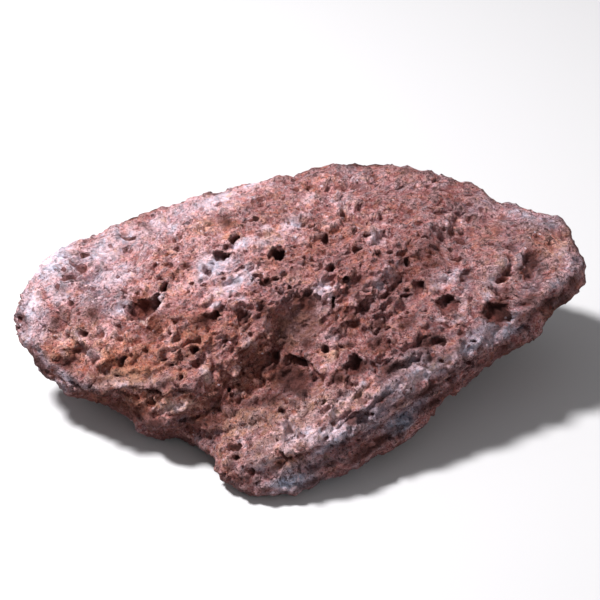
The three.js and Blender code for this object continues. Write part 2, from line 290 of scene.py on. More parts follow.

# Where the stone's colours lie on the broad face. Each list runs from the left end to the right, and where
# two zones of one list overlap, the stronger counts.
# A pale coating, and many zones of painted highlight where the face is lit.
BLOOM_AND_HIGHLIGHT = rows_of(
    Zone,
    (27, 336, 9, 16, -15, 1.0), (32, 306, 14, 26, 0, 1.1), (38, 303, 12, 9, 0, 0.7),
    (42, 339, 7, 9, 0, 0.6), (50, 262, 40, 22, 42, 1.1), (60, 294, 20, 14, 0, 0.9),
    (64, 338, 14, 11, 0, 0.8), (80, 336, 10, 8, 0, 0.7), (80, 348, 22, 8, 20, 0.4),
    (92, 352, 14, 10, 0, 0.6), (94, 354, 12, 9, 0, 1.0), (110, 334, 24, 16, 30, 0.6),
    (112, 246, 50, 22, 25, 0.9), (118, 276, 32, 16, 20, 0.75), (118, 308, 18, 14, 0, 0.6),
    (121, 310, 14, 9, 0, 1.0), (121, 384, 13, 6, 0, 0.7), (122, 303, 14, 10, 0, 0.7),
    (122, 383, 18, 5, 0, 0.6), (126, 286, 14, 10, 0, 0.6), (134, 292, 10, 6, 0, 0.8),
    (144, 322, 5, 4, 0, 0.9), (145, 319, 5, 3, 20, 0.9), (146, 284, 12, 8, 0, 0.5),
    (150, 259, 10, 8, 0, 0.5), (152, 245, 26, 13, 20, 0.6), (157, 301, 8, 9, 0, 1.2),
    (160, 222, 70, 12, 25, 0.85), (160, 298, 7, 10, 0, 0.7), (164, 409, 14, 9, 0, 0.6),
    (170, 338, 8, 14, 0, 0.6), (173, 228, 9, 10, 0, 0.9), (180, 406, 32, 9, 0, 0.8),
    (182, 287, 24, 10, 10, 0.6), (205, 240, 60, 26, 25, 0.5), (206, 374, 7, 13, 25, 0.9),
    (207, 262, 20, 11, 20, 1.1), (212, 202, 40, 9, 22, 1.1), (212, 270, 34, 12, 28, 0.95),
    (212, 304, 22, 8, 15, 0.5), (213, 305, 14, 6, 10, 1.0), (221, 247, 12, 5, 5, 0.6),
    (221, 277, 8, 6, 0, 0.6), (232, 204, 30, 8, 24, 0.7), (232, 284, 40, 13, 30, 1.0),
    (236, 372, 9, 26, -15, 0.5), (238, 394, 8, 7, 0, 0.7), (240, 298, 9, 6, 0, 0.8),
    (242, 244, 22, 7, 25, 0.9), (243, 440, 9, 12, 0, 0.5), (245, 434, 20, 14, 0, 0.4),
    (250, 186, 30, 6, 20, 0.8), (250, 345, 12, 12, 0, 0.6), (262, 250, 34, 6, 15, 0.6),
    (262, 466, 18, 7, 15, 0.8), (265, 228, 10, 6, 0, 0.8), (265, 240, 26, 10, 20, 0.6),
    (268, 328, 5, 10, 0, 0.7), (270, 187, 18, 7, 10, 0.5), (273, 247, 10, 6, 10, 0.7),
    (276, 240, 30, 9, 20, 0.7), (288, 420, 14, 7, 10, 0.6), (288, 426, 12, 7, 0, 1.0),
    (288, 450, 16, 7, 15, 0.7), (290, 430, 26, 8, 12, 0.6), (290, 484, 24, 6, 12, 0.7),
    (290, 488, 28, 6, 12, 0.9), (292, 222, 24, 8, 28, 0.9), (294, 436, 36, 11, 18, 0.75),
    (295, 449, 14, 6, 10, 0.6), (296, 484, 26, 6, 12, 0.7), (304, 238, 14, 7, 10, 0.5),
    (310, 200, 16, 8, 20, 0.7), (318, 292, 10, 6, -30, 0.9), (326, 181, 14, 9, 0, 0.5),
    (326, 285, 11, 6, -30, 1.3), (327, 310, 9, 6, 0, 0.9), (328, 292, 9, 8, 0, 0.8),
    (330, 192, 24, 8, 5, 0.5), (330, 296, 8, 8, 0, 1.0), (330, 362, 8, 14, -20, 0.6),
    (330, 432, 34, 10, 28, 1.0), (331, 337, 10, 7, 0, 0.7), (332, 222, 10, 16, 0, 0.5),
    (336, 285, 8, 7, -40, 0.8), (336, 412, 10, 7, 30, 0.9), (338, 411, 14, 6, 30, 0.6),
    (345, 204, 18, 13, 10, 0.75), (345, 400, 20, 8, 34, 0.6), (350, 408, 64, 24, 34, 0.45),
    (352, 301, 9, 7, -40, 0.6), (360, 178, 26, 8, 0, 0.5), (360, 383, 9, 6, 0, 0.8),
    (360, 386, 11, 7, 30, 0.7), (374, 236, 9, 14, 0, 0.9), (376, 232, 10, 9, 0, 0.7),
    (377, 284, 12, 7, -45, 0.7), (378, 226, 14, 20, 0, 0.45), (378, 243, 16, 10, 0, 0.6),
    (384, 212, 16, 7, 0, 0.5), (388, 272, 18, 7, -40, 0.6), (393, 427, 14, 6, 38, 0.9),
    (404, 421, 22, 5, 38, 0.8), (408, 187, 9, 7, 0, 0.6), (408, 396, 22, 9, 34, 1.0),
    (410, 202, 66, 22, -6, 0.15), (430, 180, 20, 8, -10, 0.5), (432, 368, 46, 13, 33, 0.9),
    (440, 224, 26, 7, 10, 0.5), (442, 320, 12, 5, 0, 0.7), (445, 280, 24, 10, 30, 0.9),
    (455, 322, 18, 5, 25, 0.6), (456, 218, 16, 12, 0, 0.4), (456, 319, 16, 6, 10, 0.7),
    (460, 350, 50, 8, 33, 0.7), (465, 303, 6, 12, -20, 0.6), (486, 294, 12, 9, 20, 0.8),
    (488, 294, 10, 9, 0, 0.9), (494, 280, 14, 14, 0, 0.75), (498, 268, 9, 7, 0, 0.8),
    (499, 272, 8, 5, -15, 0.8), (502, 328, 36, 12, 34, 0.9), (506, 265, 14, 13, -20, 0.8),
    (512, 214, 34, 8, -8, 0.7), (519, 258, 6, 12, 0, 0.7), (552, 286, 20, 10, 25, 0.6),
    (562, 256, 14, 26, -15, 0.6),
)
RUST = rows_of(
    Zone,
    (60, 350, 28, 20, -20), (98, 402, 22, 10, -12, 1.5), (130, 358, 60, 26, 0, 1.2),
    (142, 304, 14, 14, 0, 1.5), (155, 405, 60, 16, 0, 1.2), (156, 326, 12, 10, 0, 1.3),
    (160, 330, 30, 20, 30, 0.8), (165, 290, 36, 34, 0, 0.6), (175, 345, 50, 30, 20, 0.8),
    (180, 370, 30, 22, 20, 0.7), (200, 330, 40, 24, 30, 1.0), (200, 420, 16, 10, 0, 1.3),
    (215, 226, 30, 10, 20, 0.8), (232, 226, 24, 14, 15, 0.5), (250, 330, 26, 16, 0, 0.6),
    (250, 368, 50, 34, 35, 1.1), (270, 262, 34, 18, 20, 0.7), (270, 262, 36, 16, 15, 0.5),
    (275, 338, 10, 16, -20, 0.9), (276, 245, 14, 7, 20, 0.9), (285, 335, 36, 30, 20, 0.8),
    (285, 462, 24, 5, 15, 0.9), (290, 375, 34, 20, 10, 0.5), (300, 302, 12, 10, 0, 0.9),
    (300, 445, 20, 7, 20), (315, 199, 14, 5, 50, 0.9), (330, 232, 40, 22, 20, 0.6),
    (342, 318, 12, 24, 0, 0.6), (350, 280, 16, 20, 0, 0.6), (404, 403, 22, 5, 36, 0.8),
    (430, 258, 24, 14, 0, 0.5), (436, 394, 14, 5, 36, 0.8), (492, 232, 16, 14, 0, 0.8),
    (500, 270, 10, 18, 0, 0.6), (545, 240, 22, 22, 0, 0.9), (556, 308, 20, 7, 36, 1.0),
    (558, 306, 20, 9, 38, 1.5),
)
# Tan patches, and zones of painted highlight on lit crests and slopes.
SAND_AND_HIGHLIGHT = rows_of(
    Zone,
    (80, 330, 36, 16, 40, 0.7), (98, 340, 28, 13, -10, 0.3), (112, 342, 24, 14, 20, 0.3),
    (122, 382, 40, 8, 0, 1.2), (130, 378, 60, 12, 0, 1.0), (142, 296, 26, 14, 0, 0.6),
    (162, 404, 26, 8, 0, 1.2), (175, 404, 26, 10, 5, 0.8), (190, 235, 60, 20, 25, 0.6),
    (230, 235, 30, 14, 20, 0.5), (230, 452, 26, 16, 0, 0.7), (250, 420, 50, 20, 10, 1.1),
    (265, 238, 26, 10, 20, 0.7), (270, 448, 40, 22, 10, 0.9), (280, 207, 30, 8, 15, 0.6),
    (285, 466, 22, 8, 12, 1.0), (292, 280, 20, 16, 0, 0.6), (292, 432, 40, 14, 14, 1.1),
    (300, 320, 16, 18, 0, 0.7), (310, 405, 44, 16, 28, 1.0), (330, 350, 16, 14, 0, 0.7),
    (350, 400, 40, 14, 33, 0.9), (402, 365, 16, 9, 30, 1.1), (420, 372, 36, 8, 33, 0.7),
    (560, 245, 12, 30, -10, 0.7),
)
# Grey crusting, made pale along the crests as a painted highlight.
CRUST_AND_HIGHLIGHT = rows_of(
    Zone,
    (42, 355, 22, 4, -55, 1.0), (60, 385, 14, 5, -35, 1.0), (62, 352, 10, 4, -55, 0.7),
    (66, 377, 18, 5, -44, 1.2), (86, 386, 18, 5, -20, 0.9), (90, 300, 18, 14, 30, 0.6),
    (252, 280, 10, 4, 45), (288, 480, 32, 8, 12, 1.3), (292, 388, 14, 12, 0, 0.6), (298, 225, 8, 4, 10),
    (300, 468, 60, 12, 16, 0.8), (318, 452, 18, 6, 30, 0.9), (320, 290, 8, 8, -40, 0.8),
    (335, 442, 28, 9, 30, 0.9), (372, 428, 20, 6, 36, 0.8), (388, 391, 30, 9, 34, 1.0),
    (400, 418, 26, 8, 38, 1.2), (404, 425, 16, 6, 38, 1.4), (412, 408, 46, 12, 37, 0.9),
    (470, 350, 20, 7, 34, 0.9), (505, 334, 30, 6, 28), (536, 220, 34, 12, -12, 0.6),
    (560, 300, 16, 7, 38, 0.8), (562, 280, 20, 10, 30, 0.7),
)
# Dark red patches, and zones of painted shade in the shaded valley, hollows and walls.
DEEP_AND_SHADE = rows_of(
    Zone,
    (98, 403, 28, 6, -18, 1.2), (104, 402, 34, 9, -12, 1.0), (140, 412, 60, 12, 0, 0.9),
    (141, 307, 13, 13, 0, 2.0), (152, 321, 12, 9, 0, 0.8), (156, 326, 14, 10, 30, 0.9),
    (160, 436, 18, 6, 0, 0.4), (165, 432, 18, 6, 0, 1.0), (200, 425, 26, 14, 0, 0.9),
    (204, 422, 26, 10, 10, 1.2), (206, 321, 12, 7, 20, 1.0), (222, 392, 34, 16, 15, 1.0),
    (262, 358, 34, 26, 35, 1.4), (268, 362, 22, 16, 35, 1.8), (278, 256, 34, 12, 20, 0.4),
    (285, 345, 14, 12, 35, 1.2), (296, 322, 26, 30, 0, 0.9), (300, 302, 14, 10, 0, 0.9),
    (305, 302, 8, 10, 0, 0.8), (345, 250, 40, 26, 20, 0.4), (350, 300, 18, 24, 20, 0.6),
    (350, 315, 40, 26, 30, 0.7), (385, 347, 13, 7, 30, 0.8), (400, 215, 70, 36, -10, 0.1),
    (400, 255, 60, 26, 25, 0.6), (406, 283, 14, 8, 30, 0.6), (408, 276, 36, 10, 40, 0.9),
    (425, 262, 22, 13, 40, 1.0), (430, 345, 16, 8, 30, 0.6), (434, 256, 24, 16, 30, 0.7),
    (440, 262, 14, 8, 30, 0.6), (450, 318, 40, 14, 30, 0.5), (496, 312, 14, 14, 0, 2.2),
    (560, 304, 18, 7, 38, 1.6),
)
# Painted shade: dark brown laid where the face lies in shade, under ledges, in hollows and on its lower band,
# with some brown earth.
SOIL_AND_SHADE = rows_of(
    Zone,
    (23, 318, 4, 5, 0, 1.1), (26, 326, 7, 12, 0, 0.6), (38, 361, 15, 5, -52, 0.9),
    (41, 371, 10, 8, -45, 1.2), (56, 386, 10, 4, -30, 0.9), (57, 322, 7, 9, 0, 1.0),
    (57, 325, 8, 6, 40, 0.6), (62, 290, 12, 9, 0, 0.6), (65, 364, 13, 7, -35, 0.9),
    (73, 294, 11, 5, 0, 0.6), (76, 356, 8, 11, -10, 0.6), (93, 314, 8, 9, 0, 0.8),
    (96, 378, 10, 6, 0, 0.5), (98, 381, 14, 5, 10, 0.9), (110, 406, 34, 7, -10, 0.8),
    (126, 248, 22, 11, 30, 0.5), (136, 412, 22, 10, -25, 0.65), (145, 309, 10, 9, 0, 0.6),
    (145, 410, 7, 18, 0, 0.6), (147, 227, 12, 6, -30, 0.7), (152, 339, 8, 8, 0, 0.6),
    (154, 424, 13, 7, 12, 1.0), (156, 322, 9, 12, 40, 0.45), (156, 332, 17, 6, 50, 0.5),
    (160, 427, 40, 6, 4, 0.5), (162, 317, 8, 6, 0, 0.6), (166, 383, 14, 8, 20, 0.8),
    (190, 268, 8, 9, 0, 0.5), (194, 337, 7, 14, -15, 0.6), (200, 420, 16, 7, 10, 0.8),
    (203, 320, 13, 8, 20, 1.0), (208, 422, 18, 6, 10, 0.7), (208, 442, 10, 12, 0, 0.6),
    (212, 411, 22, 9, 30, 0.7), (218, 190, 15, 6, 18, 0.8), (226, 222, 11, 8, -30, 0.8),
    (232, 412, 34, 9, 12, 0.6), (236, 282, 9, 6, 0, 0.5), (243, 479, 18, 5, 12, 0.9),
    (245, 482, 18, 6, -22, 0.7), (252, 403, 28, 9, 15, 0.7), (256, 452, 10, 5, 0, 0.7),
    (257, 318, 6, 10, 0, 0.6), (262, 308, 12, 18, 10, 0.3), (263, 309, 7, 14, 20, 0.9),
    (264, 364, 22, 12, 30, 0.5), (266, 264, 9, 7, 20, 0.6), (266, 490, 14, 4, 0, 0.8),
    (268, 260, 12, 7, 0, 0.4), (270, 366, 16, 8, 30, 0.7), (270, 412, 12, 7, 0, 0.5),
    (272, 398, 22, 9, 10, 0.8), (280, 466, 26, 4, 15, 0.5), (284, 346, 9, 14, 20, 0.6),
    (292, 402, 10, 6, 0, 0.8), (294, 272, 8, 8, 0, 0.5), (294, 381, 22, 16, -20, 1.3),
    (301, 220, 11, 6, 0, 0.6), (305, 219, 24, 5, 0, 0.6), (306, 316, 10, 24, -10, 0.35),
    (307, 303, 9, 12, 0, 1.2), (308, 343, 9, 9, 0, 0.9), (311, 328, 8, 12, 0, 0.5),
    (314, 482, 30, 6, 22, 0.85), (328, 466, 18, 6, 20, 0.6), (338, 378, 10, 9, 0, 0.9),
    (345, 372, 14, 7, 20, 0.6), (348, 345, 9, 6, 0, 0.6), (350, 290, 8, 13, -30, 0.5),
    (352, 318, 9, 7, 0, 0.6), (353, 421, 10, 6, 20, 1.0), (358, 369, 17, 7, 25, 1.0),
    (361, 281, 8, 9, 0, 0.7), (362, 163, 20, 5, 0, 1.1), (362, 402, 12, 5, 30, 0.6),
    (372, 447, 44, 7, 34, 1.0), (376, 344, 14, 9, 30, 0.9), (380, 323, 9, 9, 0, 0.9),
    (380, 331, 12, 6, 40, 0.5), (384, 378, 14, 8, 34, 0.7), (385, 347, 12, 6, 30, 0.6),
    (385, 398, 16, 8, 34, 0.8), (388, 297, 12, 6, -30, 0.6), (390, 368, 18, 7, 30, 0.85),
    (391, 374, 14, 6, 25, 0.7), (402, 401, 20, 5, 36, 0.9), (409, 322, 15, 8, 40, 0.9),
    (412, 171, 18, 4, -5, 0.6), (424, 391, 26, 6, 33, 1.0), (428, 250, 22, 12, 30, 0.55),
    (428, 284, 16, 12, 20, 0.5), (428, 341, 18, 10, 30, 0.85), (431, 358, 12, 8, 10, 0.9),
    (436, 264, 12, 7, 30, 0.6), (440, 398, 36, 6, 36, 0.9), (448, 352, 24, 8, 30, 0.65),
    (454, 180, 12, 5, 20, 0.6), (456, 250, 12, 8, 0, 0.4), (496, 312, 12, 13, 10, 1.2),
    (500, 326, 12, 4, 20, 0.7), (500, 335, 14, 7, 30, 0.6), (500, 352, 34, 6, 36, 0.8),
    (506, 294, 7, 10, 0, 0.7), (506, 328, 18, 6, 30, 0.5), (508, 288, 8, 7, 0, 0.5),
    (528, 316, 24, 9, 34, 0.7), (530, 300, 16, 9, 30, 0.8), (533, 262, 7, 18, 10, 1.0),
    (540, 255, 6, 16, 0, 0.5), (548, 304, 20, 6, 36, 0.9), (563, 303, 13, 6, 36, 1.0),
    (572, 284, 8, 14, -20, 0.8), (578, 243, 6, 12, -10, 0.7),
)
ASH = rows_of(
    Zone,
    (26, 310, 12, 44, 0, 0.9), (40, 362, 17, 5, -52, 1.3), (42, 328, 11, 24, -15, 1.0),
    (62, 288, 12, 8, 0, 0.7), (66, 268, 40, 24, 40, 0.8), (100, 285, 42, 28, 20, 0.9),
    (110, 312, 14, 10, 0, 1.0), (120, 252, 26, 10, 25, 0.4), (130, 270, 16, 10, 0, 1.0),
    (170, 225, 60, 14, 25, 0.6), (183, 420, 18, 7, 0, 1.0), (190, 208, 30, 8, 22, 0.6),
    (210, 442, 18, 8, 0, 0.6), (215, 429, 12, 10, 0, 0.7), (218, 192, 16, 6, 20, 0.8),
    (225, 272, 50, 20, 28, 0.6), (250, 192, 24, 8, 18, 0.5), (262, 452, 30, 16, 12, 0.7),
    (262, 470, 16, 8, 0, 0.6), (292, 230, 18, 8, 20, 0.7), (300, 486, 40, 8, 14, 1.2),
    (310, 436, 60, 14, 18, 0.9), (322, 413, 18, 8, 20, 0.8), (325, 198, 12, 8, 0, 0.6),
    (338, 439, 30, 8, 28, 1.0), (348, 395, 26, 10, 34, 0.7), (376, 412, 46, 11, 34, 1.2),
    (378, 185, 24, 9, 0, 0.6), (398, 428, 22, 7, 38, 1.4), (412, 362, 50, 14, 33, 1.1),
    (430, 182, 30, 9, -8, 0.6), (446, 372, 16, 6, 34, 0.9), (460, 365, 20, 7, 36, 0.9),
    (465, 296, 10, 20, 0, 0.6), (468, 285, 9, 22, 0, 0.8), (470, 200, 30, 10, -25, 0.5),
    (486, 328, 46, 14, 34, 1.1), (500, 198, 70, 14, 18, 0.9), (508, 236, 16, 12, -60, 0.8),
    (510, 224, 40, 18, 0, 0.6), (521, 303, 9, 7, 0, 0.9), (530, 290, 24, 12, 32, 0.8),
    (545, 245, 40, 40, 0, 0.5), (552, 222, 24, 14, 20, 1.0), (572, 268, 12, 14, 0, 0.9),
    (574, 264, 12, 14, 0, 1.1),
)
DUST = rows_of(
    Zone,
    (290, 382, 18, 14, -20, 0.9), (300, 323, 21, 26, -40, 1.6),
)

COLOURS = {
    "bloom_and_highlight": BLOOM_AND_HIGHLIGHT,
    "rust": RUST,
    "sand_and_highlight": SAND_AND_HIGHLIGHT,
    "crust_and_highlight": CRUST_AND_HIGHLIGHT,
    "deep_and_shade": DEEP_AND_SHADE,
    "soil_and_shade": SOIL_AND_SHADE,
    "ash": ASH,
}

# The grid that the skin is made of, counted along the picture's axes.
GRID = (166, 128, 96)
SEED_BALL = 5 * MM
HEART_SHARE = 0.377  # of the stone's height: every part of its skin can be seen from there
HALF_SIZES = np.array([125, 72, 43]) * MM  # along the picture's axes
EVEN_SPREAD = 2 / 3  # of a half-size: spreads the points evenly over a long, low body
TOWARDS_FACE = 0.45  # draws the points to the broad face, where the finest shapes are
LINE = math.radians(36)  # how steeply the streaks of the face climb to the right
STREAK = RIGHT * math.cos(LINE) + UP * math.sin(LINE)

# How many rounds it takes to smooth the skin, to spread its points, and to smooth its normals.
FIRST_SMOOTHING = 14
SPREADING = 20
FACE_SMOOTHING = 20
PORE_SMOOTHING = 30

# What makes edges on the face wander: two seeds of noise, one for each way, and how far, in pixels.
WANDER_SEEDS = (71, 76)
WANDER = 7

# The crags: how they bend, and their broken facets as a size, a seed, how crisp they are and their share.
BEND_SEEDS = (81, 84, 87)
BEND = 1.6 * MM
FACETS = [
    (16 * MM, 41, 60.0, 0.3),
    (8 * MM, 31, 36.0, 0.32),
    (4.5 * MM, 37, 36.0, 0.24),
]

# The pores' shade: it is fullest in the floor and to the upper right, and in pores at least this deep.
UPPER_RIGHT = 0.7  # of a step to the right and of one up, in a step to the upper right
DARK_DEPTH = 2.5  # in millimetres

# The scattered pores, in millimetres: their usual length, and the most where the camera sees them.
USUAL_PORE = 1.8
LARGEST_SEEN = 2.4

CALMING = 0.7  # of the crags and the grain, which a bare place loses
LEDGE_ENDS = 0.12  # of a ledge's length, over which it fades at each end
SPARE_PART = 40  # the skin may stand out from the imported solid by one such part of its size

# The lamps: where they stand and how wide they are, in metres, and their tints.
KEY_PLACE = Vector((-0.55, 0.1, 1.05))
KEY_SIZE = 0.18
KEY_TINT = (1.0, 0.985, 0.99)
FILL_PLACE = Vector((0.55, -0.95, 0.55))
FILL_SIZE = 0.9
FILL_TINT = (1.0, 0.98, 0.99)
SKY_TINT = (1.0, 0.985, 1.0, 1.0)


# ---------------------------------------------------------------------------------------------
# Arrays: noise, and the closed grid
# ---------------------------------------------------------------------------------------------

SLOPES = np.array([slope for slope in product((-1, 0, 1), repeat=3) if slope.count(0) == 1], float)


def scrambled(cells, seed):
    """A whole number under 2**32 for each row of three: the three and the seed are multiplied by large odd
    numbers and added, and the sum is mixed twice by xor with its own upper bits."""
    low = np.uint64(0xFFFFFFFF)
    x, y, z = (cells[:, axis].astype(np.uint64) & low for axis in range(3))
    mixed = (x * np.uint64(374761393) + y * np.uint64(668265263) + z * np.uint64(2246822519)) & low
    mixed = (mixed + np.uint64(seed * 3266489917 % 2**32)) & low
    mixed = ((mixed ^ (mixed >> np.uint64(15))) * np.uint64(2246822519)) & low
    mixed = ((mixed ^ (mixed >> np.uint64(13))) * np.uint64(3266489917)) & low
    return mixed ^ (mixed >> np.uint64(16))


def noise(points, size, seed):
    """Smooth noise from about -1 to 1. Space is cut into cubes of a size, each corner of a cube has a slope
    chosen from twelve, and a point blends its eight corners' slopes by 6t^5 - 15t^4 + 10t^3."""
    scaled = points / size
    cell = np.floor(scaled)
    part = scaled - cell
    fade = part**3 * (part * (part * 6 - 15) + 10)
    total = np.zeros(len(points))
    for corner in product((0, 1), repeat=3):
        slope = SLOPES[scrambled((cell + corner).astype(np.int64), seed) % np.uint64(len(SLOPES))]
        weight = np.prod(np.where(np.array(corner) == 1, fade, 1 - fade), axis=1)
        total += weight * np.sum(slope * (part - corner), axis=1)
    return total


def fractal(points, size, seed, octaves, keep=0.5):
    """Noise added up over octaves, each of half the size and keep times the height of the one before."""
    return sum(keep**i * noise(points, size / 2**i, seed + i) for i in range(octaves))


def fractals(points, size, seeds, octaves, keep=0.5):
    """A column of such noise for each seed."""
    return np.stack([fractal(points, size, seed, octaves, keep) for seed in seeds], axis=-1)


def ridges(points, size, seed, octaves, keep=0.5):
    """Sharp ridges, about 1 at their crests: one less twice the size of each octave of noise, averaged with
    each octave counting keep times as much as the one before."""
    sharp = [keep**i * (1 - np.abs(noise(points, size / 2**i, seed + i)) * 2) for i in range(octaves)]
    return sum(sharp) / sum(keep**i for i in range(octaves))


def chips(points, size, seed, crisp=36.0):
    """Broken facets, from about -1 to 1. Seeds lie scattered a size apart, each with its own height and
    slope. A point blends the slopes of the seeds round it, each weighed by e to minus crisp times its
    distance squared."""
    scaled = points / size
    cell = np.floor(scaled)
    total = np.zeros(len(points))
    weights = np.zeros(len(points))
    for corner in product((-1, 0, 1), repeat=3):
        place = (cell + corner).astype(np.int64)
        jitter = np.stack([scrambled(place, seed + i) / 2**32 for i in range(3)], axis=-1)
        offset = scaled - place - jitter
        slope = SLOPES[scrambled(place, seed + 3) % np.uint64(len(SLOPES))]
        height = scrambled(place, seed + 4) / 2**31 - 1 + np.sum(slope * offset, axis=1)
        weight = np.exp(-crisp * np.sum(offset**2, axis=1))
        total += weight * height
        weights += weight
    return total / weights


def streaked(points, share):
    """The points squeezed to a share along the streaks, so that noise there runs out long."""
    along = points @ STREAK
    return points - np.outer(along * (1 - share), STREAK)


def box_grid(counts):
    """A closed grid on the skin of a box: its points as whole numbers, and its four-sided faces.

    Each side is a surface of two parameters, both counted in whole steps. A point on an edge of the box is
    kept once, so the six sides join without a seam.
    """
    sides, faces, start = [], [], 0
    for axis in range(3):
        first, second = (axis + 1) % 3, (axis + 2) % 3
        for end in (0, counts[axis]):
            u, v = np.meshgrid(np.arange(counts[first] + 1), np.arange(counts[second] + 1), indexing="ij")
            side = np.empty(u.shape + (3,), int)
            side[..., axis] = end
            side[..., first] = u
            side[..., second] = v
            index = start + np.arange(u.size).reshape(u.shape)
            quads = np.stack([index[:-1, :-1], index[1:, :-1], index[1:, 1:], index[:-1, 1:]], axis=-1)
            faces.append((quads if end else quads[..., ::-1]).reshape(-1, 4))
            sides.append(side.reshape(-1, 3))
            start += u.size
    points, kept = np.unique(np.concatenate(sides), axis=0, return_inverse=True)
    return points, kept.reshape(-1)[np.concatenate(faces)]


def ball_directions(points, counts):
    """The grid's points as directions. Each runs from -1 to 1 along a side, is evened out by the tangent of
    45 degrees times that, is stretched to the stone's proportions and is drawn towards the broad face."""
    box = np.tan(np.pi / 4 * (2 * points / np.array(counts) - 1))
    ball = box / np.linalg.norm(box, axis=1, keepdims=True)
    ball = ball * HALF_SIZES**EVEN_SPREAD
    ball /= np.linalg.norm(ball, axis=1, keepdims=True)
    ball[:, 2] += TOWARDS_FACE
    ball /= np.linalg.norm(ball, axis=1, keepdims=True)
    return ball @ np.array([RIGHT, UP, OUT])


class Skin:
    """A closed grid of four-sided faces, with the sums over neighbours that smoothing and normals need."""

    def __init__(self, points, faces):
        self.points = points
        self.faces = faces
        sides = np.concatenate([faces[:, [i, (i + 1) % 4]] for i in range(4)])
        self.start, self.end = np.unique(np.concatenate([sides, sides[:, ::-1]]), axis=0).T
        self.links = np.bincount(self.start, minlength=len(points))

    def around(self, values):
        """The average of each point's neighbours."""
        flat = values.reshape(len(values), -1)
        sums = [np.bincount(self.start, column[self.end], len(flat)) / self.links for column in flat.T]
        return np.stack(sums, axis=-1).reshape(values.shape)

    def blurred(self, values, rounds):
        """Values moved half way to their neighbours' average, a number of times."""
        for _ in range(rounds):
            values = (values + self.around(values)) / 2
        return values

    def smooth_skin(self, rounds):
        """Smooths the skin and keeps its size: each round goes half way to the average and then a little
        more than half way back."""
        for _ in range(rounds):
            self.points = self.points + 0.5 * (self.around(self.points) - self.points)
            self.points = self.points - 0.52 * (self.around(self.points) - self.points)

    def relax(self, rounds):
        """Slides the points along the skin towards even spacing, leaving out the part of each step that is
        square to the skin."""
        for _ in range(rounds):
            step = self.around(self.points) - self.points
            normals = self.normals()
            self.points = self.points + 0.5 * (step - normals * np.sum(step * normals, axis=1, keepdims=True))

    def normals(self):
        """The outward normal at each point: the cross products of its faces' diagonals, added up and made
        one long."""
        corner = self.points[self.faces]
        across = np.cross(corner[:, 2] - corner[:, 0], corner[:, 3] - corner[:, 1])
        corners = self.faces.reshape(-1)
        sums = [np.bincount(corners, np.repeat(part, 4), len(self.points)) for part in across.T]
        total = np.stack(sums, axis=-1)
        return total / np.linalg.norm(total, axis=1, keepdims=True)


# ---------------------------------------------------------------------------------------------
# The picture's frame
# ---------------------------------------------------------------------------------------------


def in_picture(points):
    """Where the stage's camera sees each point, in pixels right and down from the picture's top left
    corner."""
    offset = points - CAMERA_PLACE
    ahead = -(offset @ OUT)
    scale = PICTURE * LENS / SENSOR / ahead
    return np.stack([PICTURE / 2 + scale * (offset @ RIGHT), PICTURE / 2 - scale * (offset @ UP)], axis=-1)


def facing(points, normals):
    """How squarely each point of the skin faces the camera: 1 square on, 0 edge on, below 0 turned away."""
    sight = CAMERA_PLACE - points
    return np.sum(normals * sight, axis=1) / np.linalg.norm(sight, axis=1)


def front_share(skin):
    """How far each point belongs to the broad face: 1 on it, and falling to 0 as the skin turns away."""
    return np.clip(facing(skin.points, steady_normals(skin, FACE_SMOOTHING)) * 3, 0, 1)


def wandering_pixels(points, size):
    """Where each point shows, moved to and fro by noise with lumps of a size, which makes an edge
    ragged."""
    return in_picture(points) + WANDER * fractals(points, size, WANDER_SEEDS, octaves=4, keep=0.6)


def zone_share(pixels, zones):
    """The strongest zone at each point: a bell curve round each zone's middle, times its strength."""
    return np.max([zone.strength * bell(pixels, zone) for zone in zones], axis=0)


def bell(pixels, zone):
    """1 in the middle of a zone, falling by e to minus distance squared, with the zone's half-sizes as
    ones."""
    right, down = (pixels - zone.pixel).T
    lean = math.radians(zone.lean)
    along = right * math.cos(lean) - down * math.sin(lean)
    across = right * math.sin(lean) + down * math.cos(lean)
    return np.exp(-((along / zone.half[0]) ** 2) - (across / zone.half[1]) ** 2)


# ---------------------------------------------------------------------------------------------
# The stone
# ---------------------------------------------------------------------------------------------


def read_points(mesh):
    """A mesh's points as rows."""
    flat = np.empty(len(mesh.vertices) * 3, np.float32)
    mesh.vertices.foreach_get("co", flat)
    return flat.reshape(-1, 3).astype(float)


def mesh_of(name, points, faces):
    """A mesh of these points and four-sided faces."""
    mesh = bpy.data.meshes.new(name)
    mesh.vertices.add(len(points))
    mesh.vertices.foreach_set("co", points.astype(np.float32).reshape(-1))
    mesh.loops.add(faces.size)
    mesh.loops.foreach_set("vertex_index", faces.astype(np.int32).reshape(-1))
    mesh.polygons.add(len(faces))
    mesh.polygons.foreach_set("loop_start", np.arange(0, faces.size, 4, dtype=np.int32))
    mesh.update(calc_edges=True)
    mesh.validate()
    return mesh


def merged_copy(node):
    """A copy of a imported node's mesh with its loose triangles joined."""
    mesh = node.data.copy()
    work = bmesh.new()
    work.from_mesh(mesh)
    bmesh.ops.remove_doubles(work, verts=work.verts, dist=0.001 * MM)
    work.to_mesh(mesh)
    work.free()
    return mesh


